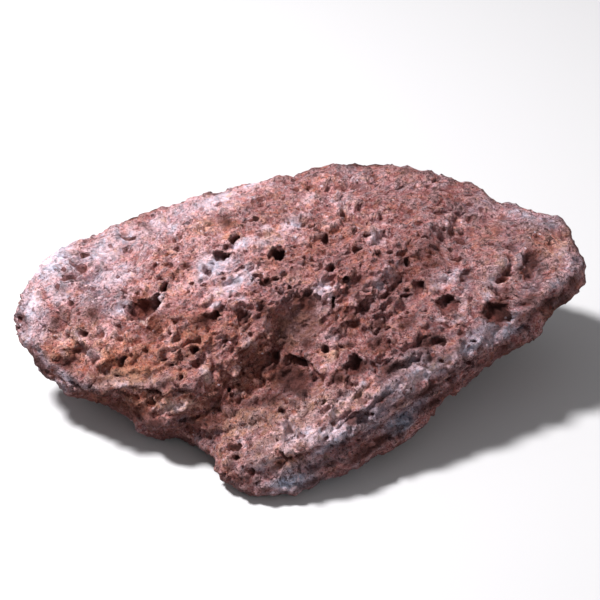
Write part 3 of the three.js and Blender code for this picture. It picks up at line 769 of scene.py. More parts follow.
def wrapped_grid(node, counts):
    """The closed grid carried outward from a small ball at the stone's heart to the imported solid's skin."""
    low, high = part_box(node.name)
    heart = np.array([(low.x + high.x) / 2, (low.y + high.y) / 2, low.z + HEART_SHARE * (high.z - low.z)])
    lattice, faces = box_grid(counts)
    ball = heart + SEED_BALL * ball_directions(lattice, counts)
    target = bpy.data.objects.new("wrap_target", merged_copy(node))
    seed = bpy.data.objects.new("wrap_seed", mesh_of("wrap_seed", ball, faces))
    for helper in (target, seed):
        bpy.context.scene.collection.objects.link(helper)
    wrap = seed.modifiers.new("Onto the solid", "SHRINKWRAP")
    wrap.target = target
    wrap.wrap_method = "PROJECT"
    wrap.use_positive_direction = True
    wrap.use_negative_direction = False
    depsgraph = bpy.context.evaluated_depsgraph_get()
    points = read_points(seed.evaluated_get(depsgraph).data)
    for helper in (seed, target):
        mesh = helper.data
        bpy.data.objects.remove(helper)
        bpy.data.meshes.remove(mesh)
    return Skin(points, faces)


def tangents(normal, lean):
    """Two directions along the skin: one that shows at a lean in the picture, and one square to it."""
    across = RIGHT * math.cos(lean) + UP * math.sin(lean)
    along = across - normal * (across @ normal)
    along /= np.linalg.norm(along)
    return along, np.cross(normal, along)


class Pores:
    """What a set of pores does to each point of the skin: its push, how far inside a mouth it is, and its
    shade."""

    def __init__(self, count):
        self.push = np.zeros((count, 3))
        self.mouth = np.full(count, -1.0)
        self.shade = np.zeros(count)


def sink(points, normals, pores, middle, pore, rough):
    """Sinks one pore into the pores' pushes, where it goes deeper than what is there, and marks its mouth:
    how far inside its rim each point is, in millimetres. Its shade is darkest to the right and above, where
    it goes under the skin.

    Its mouth is an ellipse with a ragged rim. From the rim inwards the skin goes down as the root of 1 -
    distance^flat, so the wall starts steep, and it leans over by the pore's reach.
    """
    normal = normals[middle]
    half = np.array(pore.size) * MM / 2
    offset = points - points[middle]
    near = np.flatnonzero(np.sum(offset**2, axis=1) < (1.5 * half.max()) ** 2)
    near = near[normals[near] @ normal > 0]
    along, aside = tangents(normal, math.radians(pore.lean))
    distance = np.hypot(offset[near] @ along / half[0], offset[near] @ aside / half[1]) * rough[near]
    pores.mouth[near] = np.maximum(pores.mouth[near], (1 - distance) * half.min() / MM)
    inside = near[distance < 1]
    fall = np.sqrt(1 - distance[distance < 1] ** pore.flat)
    turned = points[inside] - points[middle]
    under = (turned @ RIGHT * UPPER_RIGHT + turned @ UP * UPPER_RIGHT) / half.max()
    shade = np.clip(fall * 0.75 + under * 0.8, 0, 1) * min(pore.depth / DARK_DEPTH, 1) * pore.dark
    pores.shade[inside] = np.maximum(pores.shade[inside], shade)
    floor = -normal * pore.depth + RIGHT * pore.reach[0] + UP * pore.reach[1]
    push = np.outer(fall, floor * MM)
    deeper = np.sum(push**2, axis=1) > np.sum(pores.push[inside] ** 2, axis=1)
    pores.push[inside[deeper]] = push[deeper]


def seen_index(pixels, view, pixel):
    """The point that shows nearest a pixel, of those that face the camera."""
    away = np.hypot(*(pixels - pixel).T) + np.where(view > 0.05, 0, PICTURE)
    return int(np.argmin(away))


def beside(pixels, corners):
    """How far each pixel lies from a line through corners, which side of it, 1 over and -1 under, and how
    far along the line its nearest point is, from 0 to 1."""
    corners = np.array(corners, float)
    lengths = np.linalg.norm(np.diff(corners, axis=0), axis=1)
    before = np.concatenate([[0], np.cumsum(lengths)])
    nearest = np.full(len(pixels), np.inf)
    side = np.zeros(len(pixels))
    along = np.zeros(len(pixels))
    for start, end, size, done in zip(corners[:-1], corners[1:], lengths, before):
        run = (end - start) / size
        offset = pixels - start
        t = np.clip(offset @ run, 0, size)
        away = np.linalg.norm(offset - np.outer(t, run), axis=1)
        closer = away < nearest
        nearest[closer] = away[closer]
        over = run[1] * offset[:, 0] - run[0] * offset[:, 1]
        side[closer] = np.where(over[closer] > 0, 1, -1)
        along[closer] = (done + t[closer]) / before[-1]
    return nearest, side, along


def raise_face(skin, rises):
    """Raises the face towards the camera by the sum of its rises, fading where it turns away."""
    view = front_share(skin)
    pixels = in_picture(skin.points)
    height = sum(zone.strength * bell(pixels, zone) for zone in rises)
    skin.points = skin.points + np.outer(height * view * MM, OUT)


def nudge_outline(skin, nudges):
    """Moves the skin in the plane of the picture by the sum of its nudges, each fading as a bell curve."""
    pixels = in_picture(skin.points)
    scale = CAMERA_DISTANCE * SENSOR / LENS / PICTURE
    for nudge in nudges:
        share = np.exp(-np.sum((pixels - nudge.pixel) ** 2, axis=1) / nudge.reach**2)
        skin.points = skin.points + np.outer(share * scale, nudge.move[0] * RIGHT + nudge.move[1] * UP)


def bare_share(skin, zones):
    """How bare each point is, from 0 to 1: a bell curve round each bare bubble with a ragged, quick
    edge."""
    pixels = wandering_pixels(skin.points, 9 * MM)
    return front_share(skin) * np.clip(zone_share(pixels, zones) * 3 - 1, 0, 1)


def break_ledges(skin, ledges):
    """Raises the skin over each ledge and drops it under it. Both fade as a bell curve away from the ledge,
    and evenly at its two ends."""
    steady = steady_normals(skin, FACE_SMOOTHING)
    points = skin.points
    pixels = wandering_pixels(points, 11 * MM)
    view = np.clip(facing(points, steady) * 4 + 0.6, 0, 1)
    push = np.zeros(len(points))
    for ledge in ledges:
        away, side, along = beside(pixels, ledge.corners)
        ends = np.clip(np.minimum(along, 1 - along) / LEDGE_ENDS, 0, 1)
        over = ledge.rise * np.exp(-((away / ledge.over) ** 2))
        under = -ledge.drop * np.exp(-((away / ledge.under) ** 2))
        share = np.clip(0.5 + away * side / ledge.step, 0, 1)
        push += (share * over + (1 - share) * under) * ends
    skin.points = points + steady * (push * view * MM)[:, None]


def steady_normals(skin, rounds):
    """The skin's normals, smoothed so that small lumps don't turn them."""
    steady = skin.blurred(skin.normals(), rounds)
    return steady / np.linalg.norm(steady, axis=1, keepdims=True)


def sink_placed(skin, pores, wobble, seed):
    """Sinks a list of placed pores. Their rims are ragged, with lumps of the wobble's size."""
    steady = steady_normals(skin, PORE_SMOOTHING)
    pixels = in_picture(skin.points)
    view = facing(skin.points, steady)
    rough = 1 + 0.4 * fractal(skin.points, wobble, seed, octaves=3)
    sunk = Pores(len(skin.points))
    for pore in pores:
        sink(skin.points, steady, sunk, seen_index(pixels, view, pore.pixel), pore, rough)
    skin.points = skin.points + sunk.push
    return sunk


def point_areas(skin):
    """The area of skin round each point: a quarter of each of its faces."""
    corner = skin.points[skin.faces]
    across = np.cross(corner[:, 2] - corner[:, 0], corner[:, 3] - corner[:, 1])
    area = np.linalg.norm(across, axis=1) / 2
    return np.bincount(skin.faces.reshape(-1), np.repeat(area / 4, 4), len(skin.points))


def sink_scattered(skin, shape, shelter):
    """Sinks pores at random places, none of them where shelter is over 0, and only small ones where the
    camera sees them."""
    draw = np.random.default_rng(shape.seed)
    steady = steady_normals(skin, 10)
    view = facing(skin.points, steady)
    rough = 1 + 0.5 * fractal(skin.points, 2.4 * MM, shape.seed + 40, octaves=2)
    areas = point_areas(skin)
    chosen = draw.choice(len(areas), shape.pores, p=areas / areas.sum())
    lengths = np.exp(draw.normal(math.log(USUAL_PORE), 0.5, shape.pores))
    narrow = draw.uniform(0.25, 0.9, shape.pores)
    darks = draw.uniform(0.3, 0.9, shape.pores)
    leans = draw.normal(40, 30, shape.pores)
    depths = draw.uniform(0.35, 0.95, shape.pores)
    sunk = Pores(len(skin.points))
    for middle, length, width, lean, depth, dark in zip(chosen, lengths, narrow, leans, depths, darks):
        if view[middle] > 0.15:
            length = min(length, LARGEST_SEEN)
        if shelter[middle] > 0:
            continue
        size = (length, length * width)
        reach = (length * 0.2, length * 0.2)
        pore = Pore((0, 0), size, lean, length * depth, reach, dark=dark)
        sink(skin.points, steady, sunk, middle, pore, rough)
    skin.points = skin.points + sunk.push
    return sunk


def roughen(skin, shape, calm):
    """Raises broad lumps and streaked crags over the wrapped skin, less where it is bare or seen edge
    on."""
    normals = skin.normals()
    lumps = fractal(skin.points, 24 * MM, seed=3, octaves=2) * shape.lump_height
    bent = streaked(skin.points, 0.6) + BEND * fractals(skin.points, 5 * MM, BEND_SEEDS, octaves=2)
    crags = (ridges(streaked(skin.points, 0.35), 7 * MM, seed=11, octaves=3) - 0.6) * 0.5
    crags += sum(share * chips(bent, size, seed, crisp) for size, seed, crisp, share in FACETS)
    crags -= shape.keep_in
    square = np.abs(facing(skin.points, normals))
    crags *= (0.4 + 0.6 * np.clip(square / 0.5, 0, 1)) * (1 - CALMING * calm)
    crags *= 1 + zone_share(in_picture(skin.points), RUGGED)
    skin.points = skin.points + normals * (lumps + crags * shape.crag_height)[:, None]


def add_grain(skin, shape, calm):
    """Raises the fine grain along the skin's own normals, in patches, and less where it is calm."""
    normals = skin.normals()
    streaks = streaked(skin.points, 0.6)
    patchy = np.clip(0.8 + 0.8 * noise(skin.points, 18 * MM, seed=51), 0.35, 1.4) * (1 - CALMING * calm)
    crumbs = fractal(streaks, 3.0 * MM, seed=21, octaves=2, keep=0.7) * 0.8
    crumbs = (crumbs + chips(streaks, 2.4 * MM, seed=91) * 0.6) * patchy
    skin.points = skin.points + normals * (crumbs * shape.grain_height)[:, None]


def settle(skin):
    """Keeps the stone on the ground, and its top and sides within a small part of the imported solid's
    size."""
    low, high = (np.array(corner) for corner in CAD_BOX)
    spare = (high - low) / SPARE_PART
    skin.points = np.clip(skin.points, low - spare * (1, 1, 0), high + spare)


def write_fields(mesh, fields):
    """Writes arrays into the mesh as attributes for the material."""
    for name, values in fields.items():
        attribute = mesh.attributes.new(name, "FLOAT", "POINT")
        attribute.data.foreach_set("value", values.astype(np.float32))


def colour_fields(skin):
    """Where the stone's colours lie, with painted shade and painted highlights among them: placed zones on the
    side that the camera sees, and noise on the rest."""
    points = skin.points
    pixels = in_picture(points)
    soft = skin.blurred(skin.normals(), 12)
    view = facing(points, soft)
    front = np.clip(view / 0.25 + 0.5, 0, 1)
    fields = {}
    for i, (name, zones) in enumerate(COLOURS.items()):
        wild = np.clip(1.7 * fractal(points, 32 * MM, seed=60 + 7 * i, octaves=3) + 0.1, 0, 1)
        fields[name] = front * zone_share(pixels, zones) + (1 - front) * wild
    fields["dust"] = front * zone_share(pixels, DUST)
    return fields


def hollow_depth(skin, rounds):
    """How far each point lies under the average of the skin round it, in millimetres."""
    average = skin.blurred(skin.points, rounds)
    normals = skin.blurred(skin.normals(), 4)
    return np.sum((average - skin.points) * normals, axis=1) / MM


def stone_mesh(shape):
    """The stone's finished skin, with the fields that its material reads."""
    skin = wrapped_grid(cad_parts[NODE], GRID)
    skin.smooth_skin(FIRST_SMOOTHING)
    skin.relax(SPREADING)
    nudge_outline(skin, NUDGES)
    raise_face(skin, RISES)
    calm = bare_share(skin, BARE)
    roughen(skin, shape, calm)
    sink_placed(skin, HOLLOWS, wobble=9 * MM, seed=5)
    break_ledges(skin, LEDGES)
    placed = sink_placed(skin, PORES, wobble=3.6 * MM, seed=6)
    scattered = sink_scattered(skin, shape, np.maximum(placed.mouth, calm))
    add_grain(skin, shape, calm)
    settle(skin)
    mesh = mesh_of(NODE, skin.points, skin.faces)
    mesh.shade_smooth()
    fields = colour_fields(skin)
    fields["mouth"] = np.maximum(placed.mouth, scattered.mouth)
    fields["shade"] = np.maximum(placed.shade, scattered.shade)
    fields["calm"] = calm
    # How far the skin faces down: those sides get painted shade.
    fields["under"] = np.clip(-skin.blurred(skin.normals(), 6)[:, 2] * 2 + 0.3, 0, 1)
    # How far the skin lies in small and broad hollows: shade is painted there, and a highlight where the skin
    # stands proud.
    fields["dip"] = hollow_depth(skin, rounds=4)
    fields["dell"] = hollow_depth(skin, rounds=40)
    write_fields(mesh, fields)
    return mesh


# ---------------------------------------------------------------------------------------------
# Shader maths
# ---------------------------------------------------------------------------------------------


class Value:
    """A shader socket that holds a number. Each operator adds one Math node."""

    def __init__(self, graph, socket):
        self.graph = graph
        self.socket = socket

    def math(self, operation, *sockets):
        values = dict(enumerate(sockets))
        return self.graph.add("ShaderNodeMath", {"operation": operation}, values)

    def __add__(self, other):
        return self.math("ADD", self, other)

    __radd__ = __add__

    def __sub__(self, other):
        return self.math("SUBTRACT", self, other)

    def __rsub__(self, other):
        return self.math("SUBTRACT", other, self)

    def __mul__(self, other):
        return self.math("MULTIPLY", self, other)

    __rmul__ = __mul__

    def at_most(self, other):
        return self.math("MINIMUM", self, other)

    def at_least(self, other):
        return self.math("MAXIMUM", self, other)

    def between(self, low, high):
        """0 below low, 1 above high and smooth between them. Where low is above high, it falls instead."""
        values = {"Value": self, "From Min": low, "From Max": high}
        return self.graph.add("ShaderNodeMapRange", {"interpolation_type": "SMOOTHSTEP"}, values)


class Graph:
    """A material's nodes, the one way of adding any of them, and the ones that are added often."""

    def __init__(self, name):
        self.material = bpy.data.materials.new(name)
        self.material.use_nodes = True
        self.nodes = self.material.node_tree.nodes
        self.links = self.material.node_tree.links
        self.nodes.clear()

    def add(self, kind, settings=None, sockets=None, output=0):
        """Adds a node of a kind, with its settings set first and then its sockets' values or links. Returns
        one of its outputs."""
        node = self.nodes.new(kind)
        for name, setting in (settings or {}).items():
            setattr(node, name, setting)
        for name, value in (sockets or {}).items():
            if isinstance(value, Value):
                self.links.new(value.socket, node.inputs[name])
            else:
                node.inputs[name].default_value = value
        return Value(self, node.outputs[output] if len(node.outputs) else None)

    def mix(self, share, first, second, blend="MIX"):
        """Two colours mixed, or otherwise blended, by a share."""
        settings = {"data_type": "RGBA", "blend_type": blend}
        return self.add("ShaderNodeMix", settings, {0: share, 6: first, 7: second}, 2)

    def field(self, name):
        """A field of the mesh."""
        return self.add("ShaderNodeAttribute", {"attribute_name": name}, output="Fac")

    def noise(self, place, size, detail, roughness):
        """Noise from 0 to 1 with lumps of a size."""
        sockets = {"Vector": place, "Scale": 1 / size, "Detail": detail, "Roughness": roughness}
        return self.add("ShaderNodeTexNoise", {}, sockets)

    def crests(self, place, size):
        """Noise with sharp crests."""
        sockets = {"Vector": place, "Scale": 1 / size, "Detail": 3.0, "Roughness": 0.6}
        return self.add("ShaderNodeTexNoise", {"noise_type": "RIDGED_MULTIFRACTAL"}, sockets)

    def cracks(self, place, size):
        """The distance to the nearest border between scattered cells a size apart, in sizes."""
        sockets = {"Vector": place, "Scale": 1 / size}
        return self.add("ShaderNodeTexVoronoi", {"feature": "DISTANCE_TO_EDGE"}, sockets)

    def patches(self, name, pattern):
        """A field broken up by a pattern of about 0.5: whole where the field is strong, and only in the
        pattern's high places where it is weak."""
        return (self.field(name) * (pattern * 3.0 - 0.5)).between(0.15, 0.9)

    def veil(self, name, pattern):
        """A field spread out softly by a pattern of about 0.5. Where the field is 0, flecks of it are
        left."""
        return (self.field(name) + (pattern * 2.4 - 1.2)).between(0.2, 1.2)

    def bent(self, place, size, far):
        """A place moved along each axis by noise from 0 to 1, times how far it may move."""
        sockets = {"Vector": place, "Scale": 1 / size, "Detail": 2.0}
        wave = self.add("ShaderNodeTexNoise", {}, sockets, "Color")
        moved = {0: wave, 1: (far,) * 3, 2: place}
        return self.add("ShaderNodeVectorMath", {"operation": "MULTIPLY_ADD"}, moved)

    def random_of(self, colour):
        """The red of a cell's random colour, as a number."""
        return self.add("ShaderNodeSeparateColor", {}, {0: colour})

    def cells(self, place, size, output="Distance"):
        """Scattered points a size apart: the distance to the nearest, in sizes, or its random colour."""
        return self.add("ShaderNodeTexVoronoi", {}, {"Vector": place, "Scale": 1 / size}, output)


def opaque(colour):
    """A colour with its alpha."""
    return (*colour, 1.0)


def fine_pits(graph, place, size, smallest, largest):
    """How deep a point lies in scattered round pits, from 0 to 1. A cell's pit has its own radius: its
    chance squared, from the smallest to the largest. It has no pit where that is below 0."""
    distance = graph.cells(place, size)
    chance = graph.random_of(graph.cells(place, size, "Color"))
    radius = chance * chance * (largest - smallest) + smallest
    return (radius - distance).between(0.0, 0.08)


class Patterns:
    """What the stone's colours and its relief are both made from. place, streak and bent are where a point
    lies, plain, turned along the streaks and moved by noise. Every other pattern is one number at each
    point."""

    def __init__(self, graph):
        self.place = graph.add("ShaderNodeTexCoord", output="Object")
        turn = {"Vector": self.place, "Rotation": (-ELEVATION, -LINE, 0.0), "Scale": (1.4, 1.0, 1.0)}
        self.streak = graph.add("ShaderNodeMapping", {"vector_type": "TEXTURE"}, turn)
        self.bent = graph.bent(self.place, 1.2 * MM, 1.2 * MM)
        self.proud = graph.field("dip") * -1.0
        self.add_noises(graph)
        self.add_pits(graph)
        self.add_grains(graph)
        self.add_masks(graph)

    def add_noises(self, graph):
        """Plain noises, and narrow chinks and gaps where a noise is low and the skin isn't proud."""
        self.mottle = graph.noise(self.place, 6 * MM, 5.0, 0.65)
        self.grit = graph.noise(self.place, 1.1 * MM, 5.0, 0.85)
        self.flow = graph.noise(self.streak, 4 * MM, 5.0, 0.65)
        self.broad = graph.noise(self.place, 26 * MM, 4.0, 0.6)
        self.blush = graph.noise(self.place, 7 * MM, 8.0, 0.85)
        self.chill = graph.noise(self.streak, 5 * MM, 8.0, 0.85)
        self.rubbed = graph.noise(self.streak, 2.2 * MM, 5.0, 0.75)
        low = self.proud * 0.1
        self.chinks = (graph.noise(self.streak, 1.3 * MM, 4.0, 0.7) - low).between(0.42, 0.36)
        self.gaps = (graph.noise(self.streak, 3.4 * MM, 5.0, 0.7) - low).between(0.41, 0.37)

    def add_pits(self, graph):
        """Round pits of three sizes, round flecks, long slits, and cracks between scattered cells."""
        wavy = graph.bent(self.streak, 1.5 * MM, 1.5 * MM)
        self.pits = fine_pits(graph, self.bent, 3.3 * MM, -0.25, 0.42)
        self.pricks = fine_pits(graph, self.bent, 1.5 * MM, -0.2, 0.42)
        self.specks = fine_pits(graph, self.bent, 0.95 * MM, -0.25, 0.42)
        self.flecks = fine_pits(graph, self.bent, 2.3 * MM, -0.45, 0.3)
        self.slits = fine_pits(graph, wavy, 1.7 * MM, -0.25, 0.34)
        self.crack = graph.cracks(graph.bent(self.streak, 2 * MM, 2 * MM), 3.2 * MM).between(0.07, 0.01)

    def add_grains(self, graph):
        """A random number for each grain, dot and flake."""
        flat = graph.bent(self.streak, 1.2 * MM, 1.6 * MM)
        self.grains = graph.random_of(graph.cells(self.bent, 0.8 * MM, "Color"))
        self.dots = graph.random_of(graph.cells(self.place, 0.5 * MM, "Color"))
        self.flakes = graph.random_of(graph.cells(flat, 1.8 * MM, "Color"))

    def add_masks(self, graph):
        """Where the colours, the painted shade and the painted highlights lie, from 0 to 1, how loose the
        skin's grain is and what is inside a pore.
        """
        self.rusty = graph.veil("rust", self.mottle * 0.6 + self.blush * 0.4)
        ashy = graph.veil("ash", self.chill * 0.7 + self.grit * 0.3)
        self.ashy = ashy.at_least(self.chill.between(0.52, 0.62) * 0.7)
        # Dark red, partly painted shade.
        self.dark = graph.patches("deep_and_shade", self.flow)
        # The pale coating's share, partly painted highlight.
        self.film_and_highlight = graph.veil("bloom_and_highlight", self.mottle * 0.6 + self.grit * 0.4 + self.proud * 0.06) * 0.9
        # Grey crusting, partly painted highlight.
        self.crust_and_highlight_share = graph.veil("crust_and_highlight", self.flow * 0.5 + self.grit * 0.5 + self.proud * 0.05) * 0.9
        # Painted shade on the sides that face down, and in the placed zones of painted shade.
        under = graph.field("under") * self.mottle.between(0.25, 0.5) * (1.0 - self.crust_and_highlight_share) * 0.85
        self.soil_and_shade = graph.patches("soil_and_shade", self.mottle * 0.5 + self.grit * 0.5).at_least(under)
        self.loose = (1.0 - graph.field("calm") * 0.4) * (1.0 - self.film_and_highlight * 0.55)
        self.inside = (graph.field("mouth") + (self.grit - 0.5) * 0.9).between(-0.05, 0.12)


def strongest(shares):
    """The largest of some shares at each point."""
    return reduce(Value.at_least, shares)


def layered(graph, colour, layers):
    """A colour with layers over it in turn, each a share and the colour that it is mixed with."""
    for share, layer in layers:
        colour = graph.mix(share, colour, opaque(layer))
    return colour


def tinted(graph, colours, patterns, colour):
    """The colour made cooler and warmer in turn, in patches of noise that lean to warm where it is rusty or
    tan, and to cool where it is ashy or grey crusted."""
    tinge = graph.noise(patterns.place, 2.6 * MM, 3.0, 0.6) * 0.5
    tinge = tinge + graph.noise(patterns.streak, 8 * MM, 4.0, 0.7) * 0.5
    lean = graph.field("rust") + graph.field("sand_and_highlight") * 0.7 - graph.field("ash") - patterns.crust_and_highlight_share
    tinge = tinge + lean * 0.06
    colour = graph.mix(tinge.between(0.49, 0.38) * 0.9, colour, opaque(colours.cool), "MULTIPLY")
    return graph.mix(tinge.between(0.51, 0.62) * 0.9, colour, opaque(colours.warm), "MULTIPLY")


def worn_and_highlight_share(patterns):
    """How pale each point is made, by rubbed wear and painted highlight: most where the skin stands proud,
    which is the painted highlight, and in scattered grains, dots and flakes.
    """
    worn_and_highlight = strongest([
        (patterns.grit + patterns.proud * 0.5).between(0.52, 0.62) * 0.5,
        (patterns.rubbed + patterns.proud * 0.3).between(0.54, 0.6) * 0.55,
        patterns.grains.between(0.7, 0.95) * 0.35,
        patterns.dots.between(0.4, 0.0) * 0.35,
        patterns.flakes.between(0.75, 0.95) * 0.3,
    ])
    return worn_and_highlight * patterns.loose * (1.0 - patterns.dark * 0.5)


def shade_share(graph, patterns):
    """How much painted shade each point gets: in dips and dells, in pits, chinks, gaps and cracks, between
    grains, and in the open pores."""
    loose = patterns.loose
    holes = strongest([patterns.pits, patterns.pricks * 0.8, patterns.slits * 0.9])
    return strongest([
        # Painted shade in the small and broad hollows.
        graph.field("dip").between(0.05, 0.7) * 0.6,
        graph.field("dell").between(0.4, 3.0) * 0.45,
        holes * loose * 0.75,
        patterns.chinks * loose * 0.85,
        patterns.gaps * loose * 0.4,
        (patterns.grit - patterns.proud * 0.2).between(0.44, 0.34) * loose * 0.6,
        patterns.grains.between(0.22, 0.05) * loose * 0.45,
        patterns.dots * patterns.dots * loose * 0.4,
        patterns.flakes.between(0.25, 0.05) * loose * 0.4,
        patterns.specks * loose * 0.9,
        patterns.crack * patterns.mottle.between(0.5, 0.58) * loose * 0.8,
        graph.field("shade").between(0.1, 0.9) * patterns.inside * 0.95,
    ])


def tufa_colour(graph, colours, patterns):
    """Brick red with rust, tan, ash and dark red in it, a pale coating, grey crusting and dust over that,
    rubbed grains with a painted highlight on proud skin, painted shade in hollows and on the sides that face
    down, warm and cool tints, painted shade in pits and pores, and pale flecks, partly painted glints, on top.
    The tan, the pale coating and the grey crusting are partly painted highlight, and the dark red partly
    painted shade."""
    first = patterns.broad.between(0.35, 0.65)
    colour = graph.mix(first, opaque(colours.brick), opaque(colours.salmon))
    # Of these layers, the tan, the pale coating and the grey crusting are partly painted highlight, and the
    # dark red partly painted shade.
    colour = layered(graph, colour, [
        (patterns.rusty * 0.85, colours.rust),
        (graph.veil("sand_and_highlight", patterns.flow) * 0.8, colours.sand_and_highlight),
        (patterns.blush.between(0.5, 0.6) * 0.8, colours.rust),
        (patterns.ashy * 0.75, colours.ash),
        (patterns.dark * 0.9, colours.deep_and_shade),
        (patterns.film_and_highlight, colours.bloom_and_highlight),
        (patterns.crust_and_highlight_share, colours.crust_and_highlight),
        (graph.patches("dust", patterns.flow) * 0.85, colours.dust),
    ])
    # Pale rubbed grains, with a painted highlight where the skin stands proud.
    tawny = patterns.rusty.at_most(1.0 - patterns.ashy)
    light = graph.mix(tawny, opaque(colours.worn_and_highlight), opaque(colours.straw_and_highlight))
    colour = graph.mix(worn_and_highlight_share(patterns), colour, light)
    # Painted shade in its zones and on the sides that face down, then dark red inside the pores, partly painted
    # shade.
    colour = layered(graph, colour, [
        (patterns.soil_and_shade * 0.92, colours.soil_and_shade),
        (patterns.inside * 0.6, colours.deep_and_shade),
    ])
    colour = tinted(graph, colours, patterns, colour)
    # Pale flecks, partly painted glints, where the grit and the proud skin stand high.
    flecks = patterns.flecks * (patterns.grit + patterns.proud * 0.3).between(0.45, 0.5)
    return layered(graph, colour, [
        (shade_share(graph, patterns), colours.pore),
        (flecks * (1.0 - patterns.soil_and_shade) * 0.7, colours.bloom_and_highlight),
    ])


def fine_relief(graph, patterns):
    """The height of what is finer than the mesh: raised grit, crests, grains and flakes, and sunk pits,
    cracks and pores."""
    raised = patterns.grit * 1.3 + patterns.mottle * 0.8 + patterns.flow * 0.8
    raised = raised + graph.crests(patterns.streak, 3.5 * MM) * 0.3
    raised = raised + patterns.grains * 0.25 + patterns.flakes * 0.5
    height = raised - patterns.pits * 0.6 - patterns.pricks * 0.4 - patterns.specks * 0.2
    height = height - patterns.crack * 0.2 - patterns.chinks * 0.25 - patterns.gaps * 0.3
    return height * patterns.loose - patterns.inside * 0.8


def tufa_material(colours):
    """Red tufa: a dull, rough stone, with its colour and its fine relief worked out from the same
    patterns."""
    graph = Graph("red_tufa")
    patterns = Patterns(graph)
    colour = tufa_colour(graph, colours, patterns)
    relief = {"Height": fine_relief(graph, patterns), "Strength": 1.0, "Distance": 1.2 * MM}
    bump = graph.add("ShaderNodeBump", {}, relief)
    surface = {"Base Color": colour, "Normal": bump, "Roughness": 0.95, "Specular IOR Level": 0.25}
    shader = graph.add("ShaderNodeBsdfPrincipled", {}, surface)
    graph.add("ShaderNodeOutputMaterial", {}, {"Surface": shader})
    return graph.material


# ---------------------------------------------------------------------------------------------
# What a user can change
# ---------------------------------------------------------------------------------------------


def length(name, description, default):
    """A length that a user can change."""
    return FloatProperty(name=name, description=description, default=default, min=0, unit="LENGTH")


def colour(name, description, default):
    """A colour that a user can change."""
    known = {"name": name, "description": description, "default": default}
    return FloatVectorProperty(subtype="COLOR", min=0, max=1, **known)


def power(name, description, default):
    """A lamp's power that a user can change."""
    return FloatProperty(name=name, description=description, default=default, min=0, unit="POWER")


def whole_number(name, description, default):
    """A whole number that a user can change."""
    return IntProperty(name=name, description=description, default=default, min=0)


def number(name, description, default):
    """A plain number that a user can change."""
    return FloatProperty(name=name, description=description, default=default)


class TufaShape(bpy.types.PropertyGroup):
    """The stone's relief."""

    lump_height: length("Lumps", "How far the broad lumps rise and fall", 1.6 * MM)
    crag_height: length("Crags", "How far the streaked crags rise and fall", 3.4 * MM)
    grain_height: length("Grain", "How far the crumbly grain rises and falls", 0.6 * MM)
    keep_in: number("Keep in", "How far the crags are set back, as a share of their height", 0.2)
    pores: whole_number("Pores", "How many places are tried for a scattered pore", 1100)
    seed: whole_number("Seed", "Which random scatter is used", 7)


class TufaColours(bpy.types.PropertyGroup):
    """The stone's colours."""

    brick: colour("Brick", "Most of the stone", (0.44, 0.142, 0.138))
    salmon: colour("Salmon", "Its lighter patches", (0.63, 0.25, 0.25))
    # Dark red patches, partly painted shade; it also colours the inside of the pores.
    deep_and_shade: colour("Deep red", "Its darker patches", (0.26, 0.068, 0.056))
    rust: colour("Rust", "Its orange patches", (0.71, 0.225, 0.152))
    # Tan patches, partly painted highlight where the face is lit.
    sand_and_highlight: colour("Sand", "Its tan patches", (0.68, 0.42, 0.34))
    # A pale coating, partly painted highlight on lit places of the face and on proud skin; the pale flecks take
    # it too.
    bloom_and_highlight: colour("Bloom", "Pale dust on what stands proud", (0.86, 0.73, 0.84))
    ash: colour("Ash", "Its cool grey patches and flecks", (0.43, 0.34, 0.42))
    # Grey crusting, partly painted highlight along the lit crests.
    crust_and_highlight: colour("Crust", "Grey patches", (0.56, 0.53, 0.66))
    cool: colour("Cool tint", "What the cool patches are multiplied by", (0.74, 0.93, 1.0))
    warm: colour("Warm tint", "What the warm patches are multiplied by", (1.0, 0.90, 0.72))
    dust: colour("Dust", "The walls of the broken bubbles", (0.19, 0.095, 0.095))
    # Rubbed grains, and the painted highlight where the skin stands proud.
    worn_and_highlight: colour("Worn", "Rubbed grains", (0.88, 0.56, 0.57))
    # The same rubbed grains and painted highlight, on rusty patches.
    straw_and_highlight: colour("Straw", "Rubbed grains of the rusty patches", (0.87, 0.50, 0.42))
    # The painted shade of the hollows and of the sides that face down, with some brown earth.
    soil_and_shade: colour("Soil", "Its brown hollows and the sides that face down", (0.115, 0.034, 0.028))
    # The colour of the painted shade in pits, chinks, gaps, cracks, hollows and pores.
    pore: colour("Pore", "Inside the pores", (0.045, 0.013, 0.011))


class TufaStage(bpy.types.PropertyGroup):
    """The floor and the lamps."""

    floor: colour("Floor", "The floor's colour", (0.62, 0.62, 0.63))
    key: power("Key lamp", "The main lamp's power", 23.8)
    fill: power("Fill lamp", "The front lamp's power", 1.5)
    sky: FloatProperty(name="Sky", description="The strength of the light all round", default=0.25, min=0)


class TUFA_OT_add_stone(bpy.types.Operator):
    """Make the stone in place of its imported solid"""

    bl_idname = "tufa.add_stone"
    bl_label = "Add stone"

    def execute(self, context):
        stone = bpy.data.objects.new("tufa_block", stone_mesh(context.scene.tufa_shape))
        context.scene.collection.objects.link(stone)
        stone.data.materials.append(tufa_material(context.scene.tufa_colours))
        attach(stone, BODY)
        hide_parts(NODE)
        return {"FINISHED"}


def add_lamp(name, place, target, size, power, tint):
    """A square lamp at a place, turned to its target."""
    lamp = bpy.data.lights.new(name, "AREA")
    lamp.size = size
    lamp.energy = power
    lamp.color = tint
    holder = bpy.data.objects.new(name, lamp)
    holder.location = place
    holder.rotation_euler = (target - place).to_track_quat("-Z", "Y").to_euler()
    bpy.context.scene.collection.objects.link(holder)


